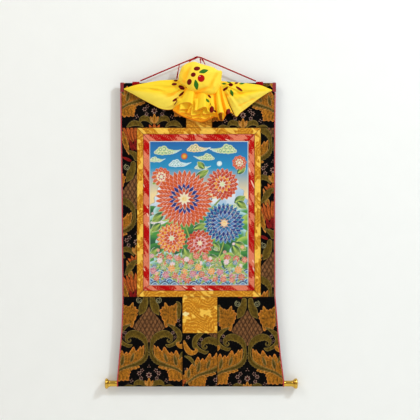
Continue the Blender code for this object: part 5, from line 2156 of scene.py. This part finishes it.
def plaster(name, one_sided):
    """Pale plaster, which can be clear from behind."""
    finish = Finish(name)
    speck = finish.noise(12.0, 3.0)
    colour = finish.tone((0.93, 0.93, 0.92), 0.98 + speck * 0.03)
    made = finish.set(base_color=colour, roughness=0.9)
    if one_sided:
        clear = finish.node("BsdfTransparent").outputs[0]
        behind = finish.node("NewGeometry").outputs["Backfacing"]
        sides = finish.node("MixShader", None, {0: behind, 1: finish.shader.outputs[0], 2: clear})
        finish.plug(sides.outputs[0], finish.output.inputs["Surface"])
    return made


class SCROLL_OT_stage(bpy.types.Operator):
    """Set the wall, the floor, the lights and the camera"""

    bl_idname = "scroll.stage"
    bl_label = "Stage"

    def execute(self, context):
        scene = context.scene
        stage = scene.scroll_stage
        scene.view_settings.view_transform = "Standard"
        ring = ((-1, -1), (1, -1), (1, 1), (-1, 1))
        wall = [(i * STAGE_REACH, WALL_Y, FLOOR_Z if j < 0 else WALL_TOP) for i, j in ring]
        plane("wall", wall, plaster("wall plaster", True))
        floor = [(i * STAGE_REACH, j * STAGE_REACH, FLOOR_Z) for i, j in ring]
        plane("floor", floor, plaster("pale floor", False))
        world = bpy.data.worlds.new("studio")
        world.use_nodes = True
        background = world.node_tree.nodes["Background"]
        background.inputs["Color"].default_value = SKY_COLOUR
        background.inputs["Strength"].default_value = stage.sky
        scene.world = world
        area_light("key", (3.1, -3.0, 2.5), (0.0, 0.0, -0.6), (0.42, 0.42), stage.key, KEY_COLOUR)
        area_light("soft_left", (-3.2, -4.0, 3.2), MIDDLE, (3.0, 3.0), stage.fill, SOFT_COLOUR)
        area_light("soft_right", (3.6, -4.0, 3.2), MIDDLE, (3.0, 3.0), stage.fill, SOFT_COLOUR)
        area_light("behind", **BEHIND)
        lens = bpy.data.cameras.new("camera")
        lens.sensor_width = 36.0
        lens.lens = lens.sensor_width * stage.distance / stage.frame_width
        lens.clip_end = 100.0
        camera = bpy.data.objects.new("camera", lens)
        scene.collection.objects.link(camera)
        aim(camera, (MIDDLE[0], -stage.distance, MIDDLE[2]), MIDDLE)
        scene.camera = camera
        return {"FINISHED"}


class SCROLL_PT_panel(bpy.types.Panel):
    """Lists the scroll's operators in the sidebar"""

    bl_idname = "SCROLL_PT_panel"
    bl_label = "Thangka scroll"
    bl_space_type = "VIEW_3D"
    bl_region_type = "UI"
    bl_category = "Scroll"

    def draw(self, context):
        for operator in OPERATORS:
            self.layout.operator(operator.bl_idname)


OPERATORS = (
    SCROLL_OT_stage,
    SCROLL_OT_cords,
    SCROLL_OT_brocade,
    SCROLL_OT_picture,
    SCROLL_OT_borders,
    SCROLL_OT_bindings,
    SCROLL_OT_hardware,
    SCROLL_OT_veil,
)
SETTINGS = {
    "scroll_brocade": BrocadeSettings,
    "scroll_border": BorderSettings,
    "scroll_veil": VeilSettings,
    "scroll_hardware": HardwareSettings,
    "scroll_stage": StageSettings,
}


def register():
    """Adds the settings, the operators and the panel to Blender."""
    for group in (*SETTINGS.values(), *OPERATORS, SCROLL_PT_panel):
        bpy.utils.register_class(group)
    for name, group in SETTINGS.items():
        setattr(bpy.types.Scene, name, bpy.props.PointerProperty(type=group))
    bpy.types.Scene.scroll_gold = bpy.props.PointerProperty(type=bpy.types.Material)


def unregister():
    """Takes them out again."""
    for name in ("scroll_gold", *SETTINGS):
        delattr(bpy.types.Scene, name)
    for group in (SCROLL_PT_panel, *OPERATORS[::-1], *SETTINGS.values()):
        bpy.utils.unregister_class(group)


def main():
    """Builds the stage and the scroll."""
    register()
    bpy.ops.scroll.stage()
    bpy.ops.scroll.cords()
    bpy.ops.scroll.brocade()
    bpy.ops.scroll.picture()
    bpy.ops.scroll.borders()
    bpy.ops.scroll.bindings()
    bpy.ops.scroll.hardware()
    bpy.ops.scroll.veil()


if __name__ == "__main__":
    main()
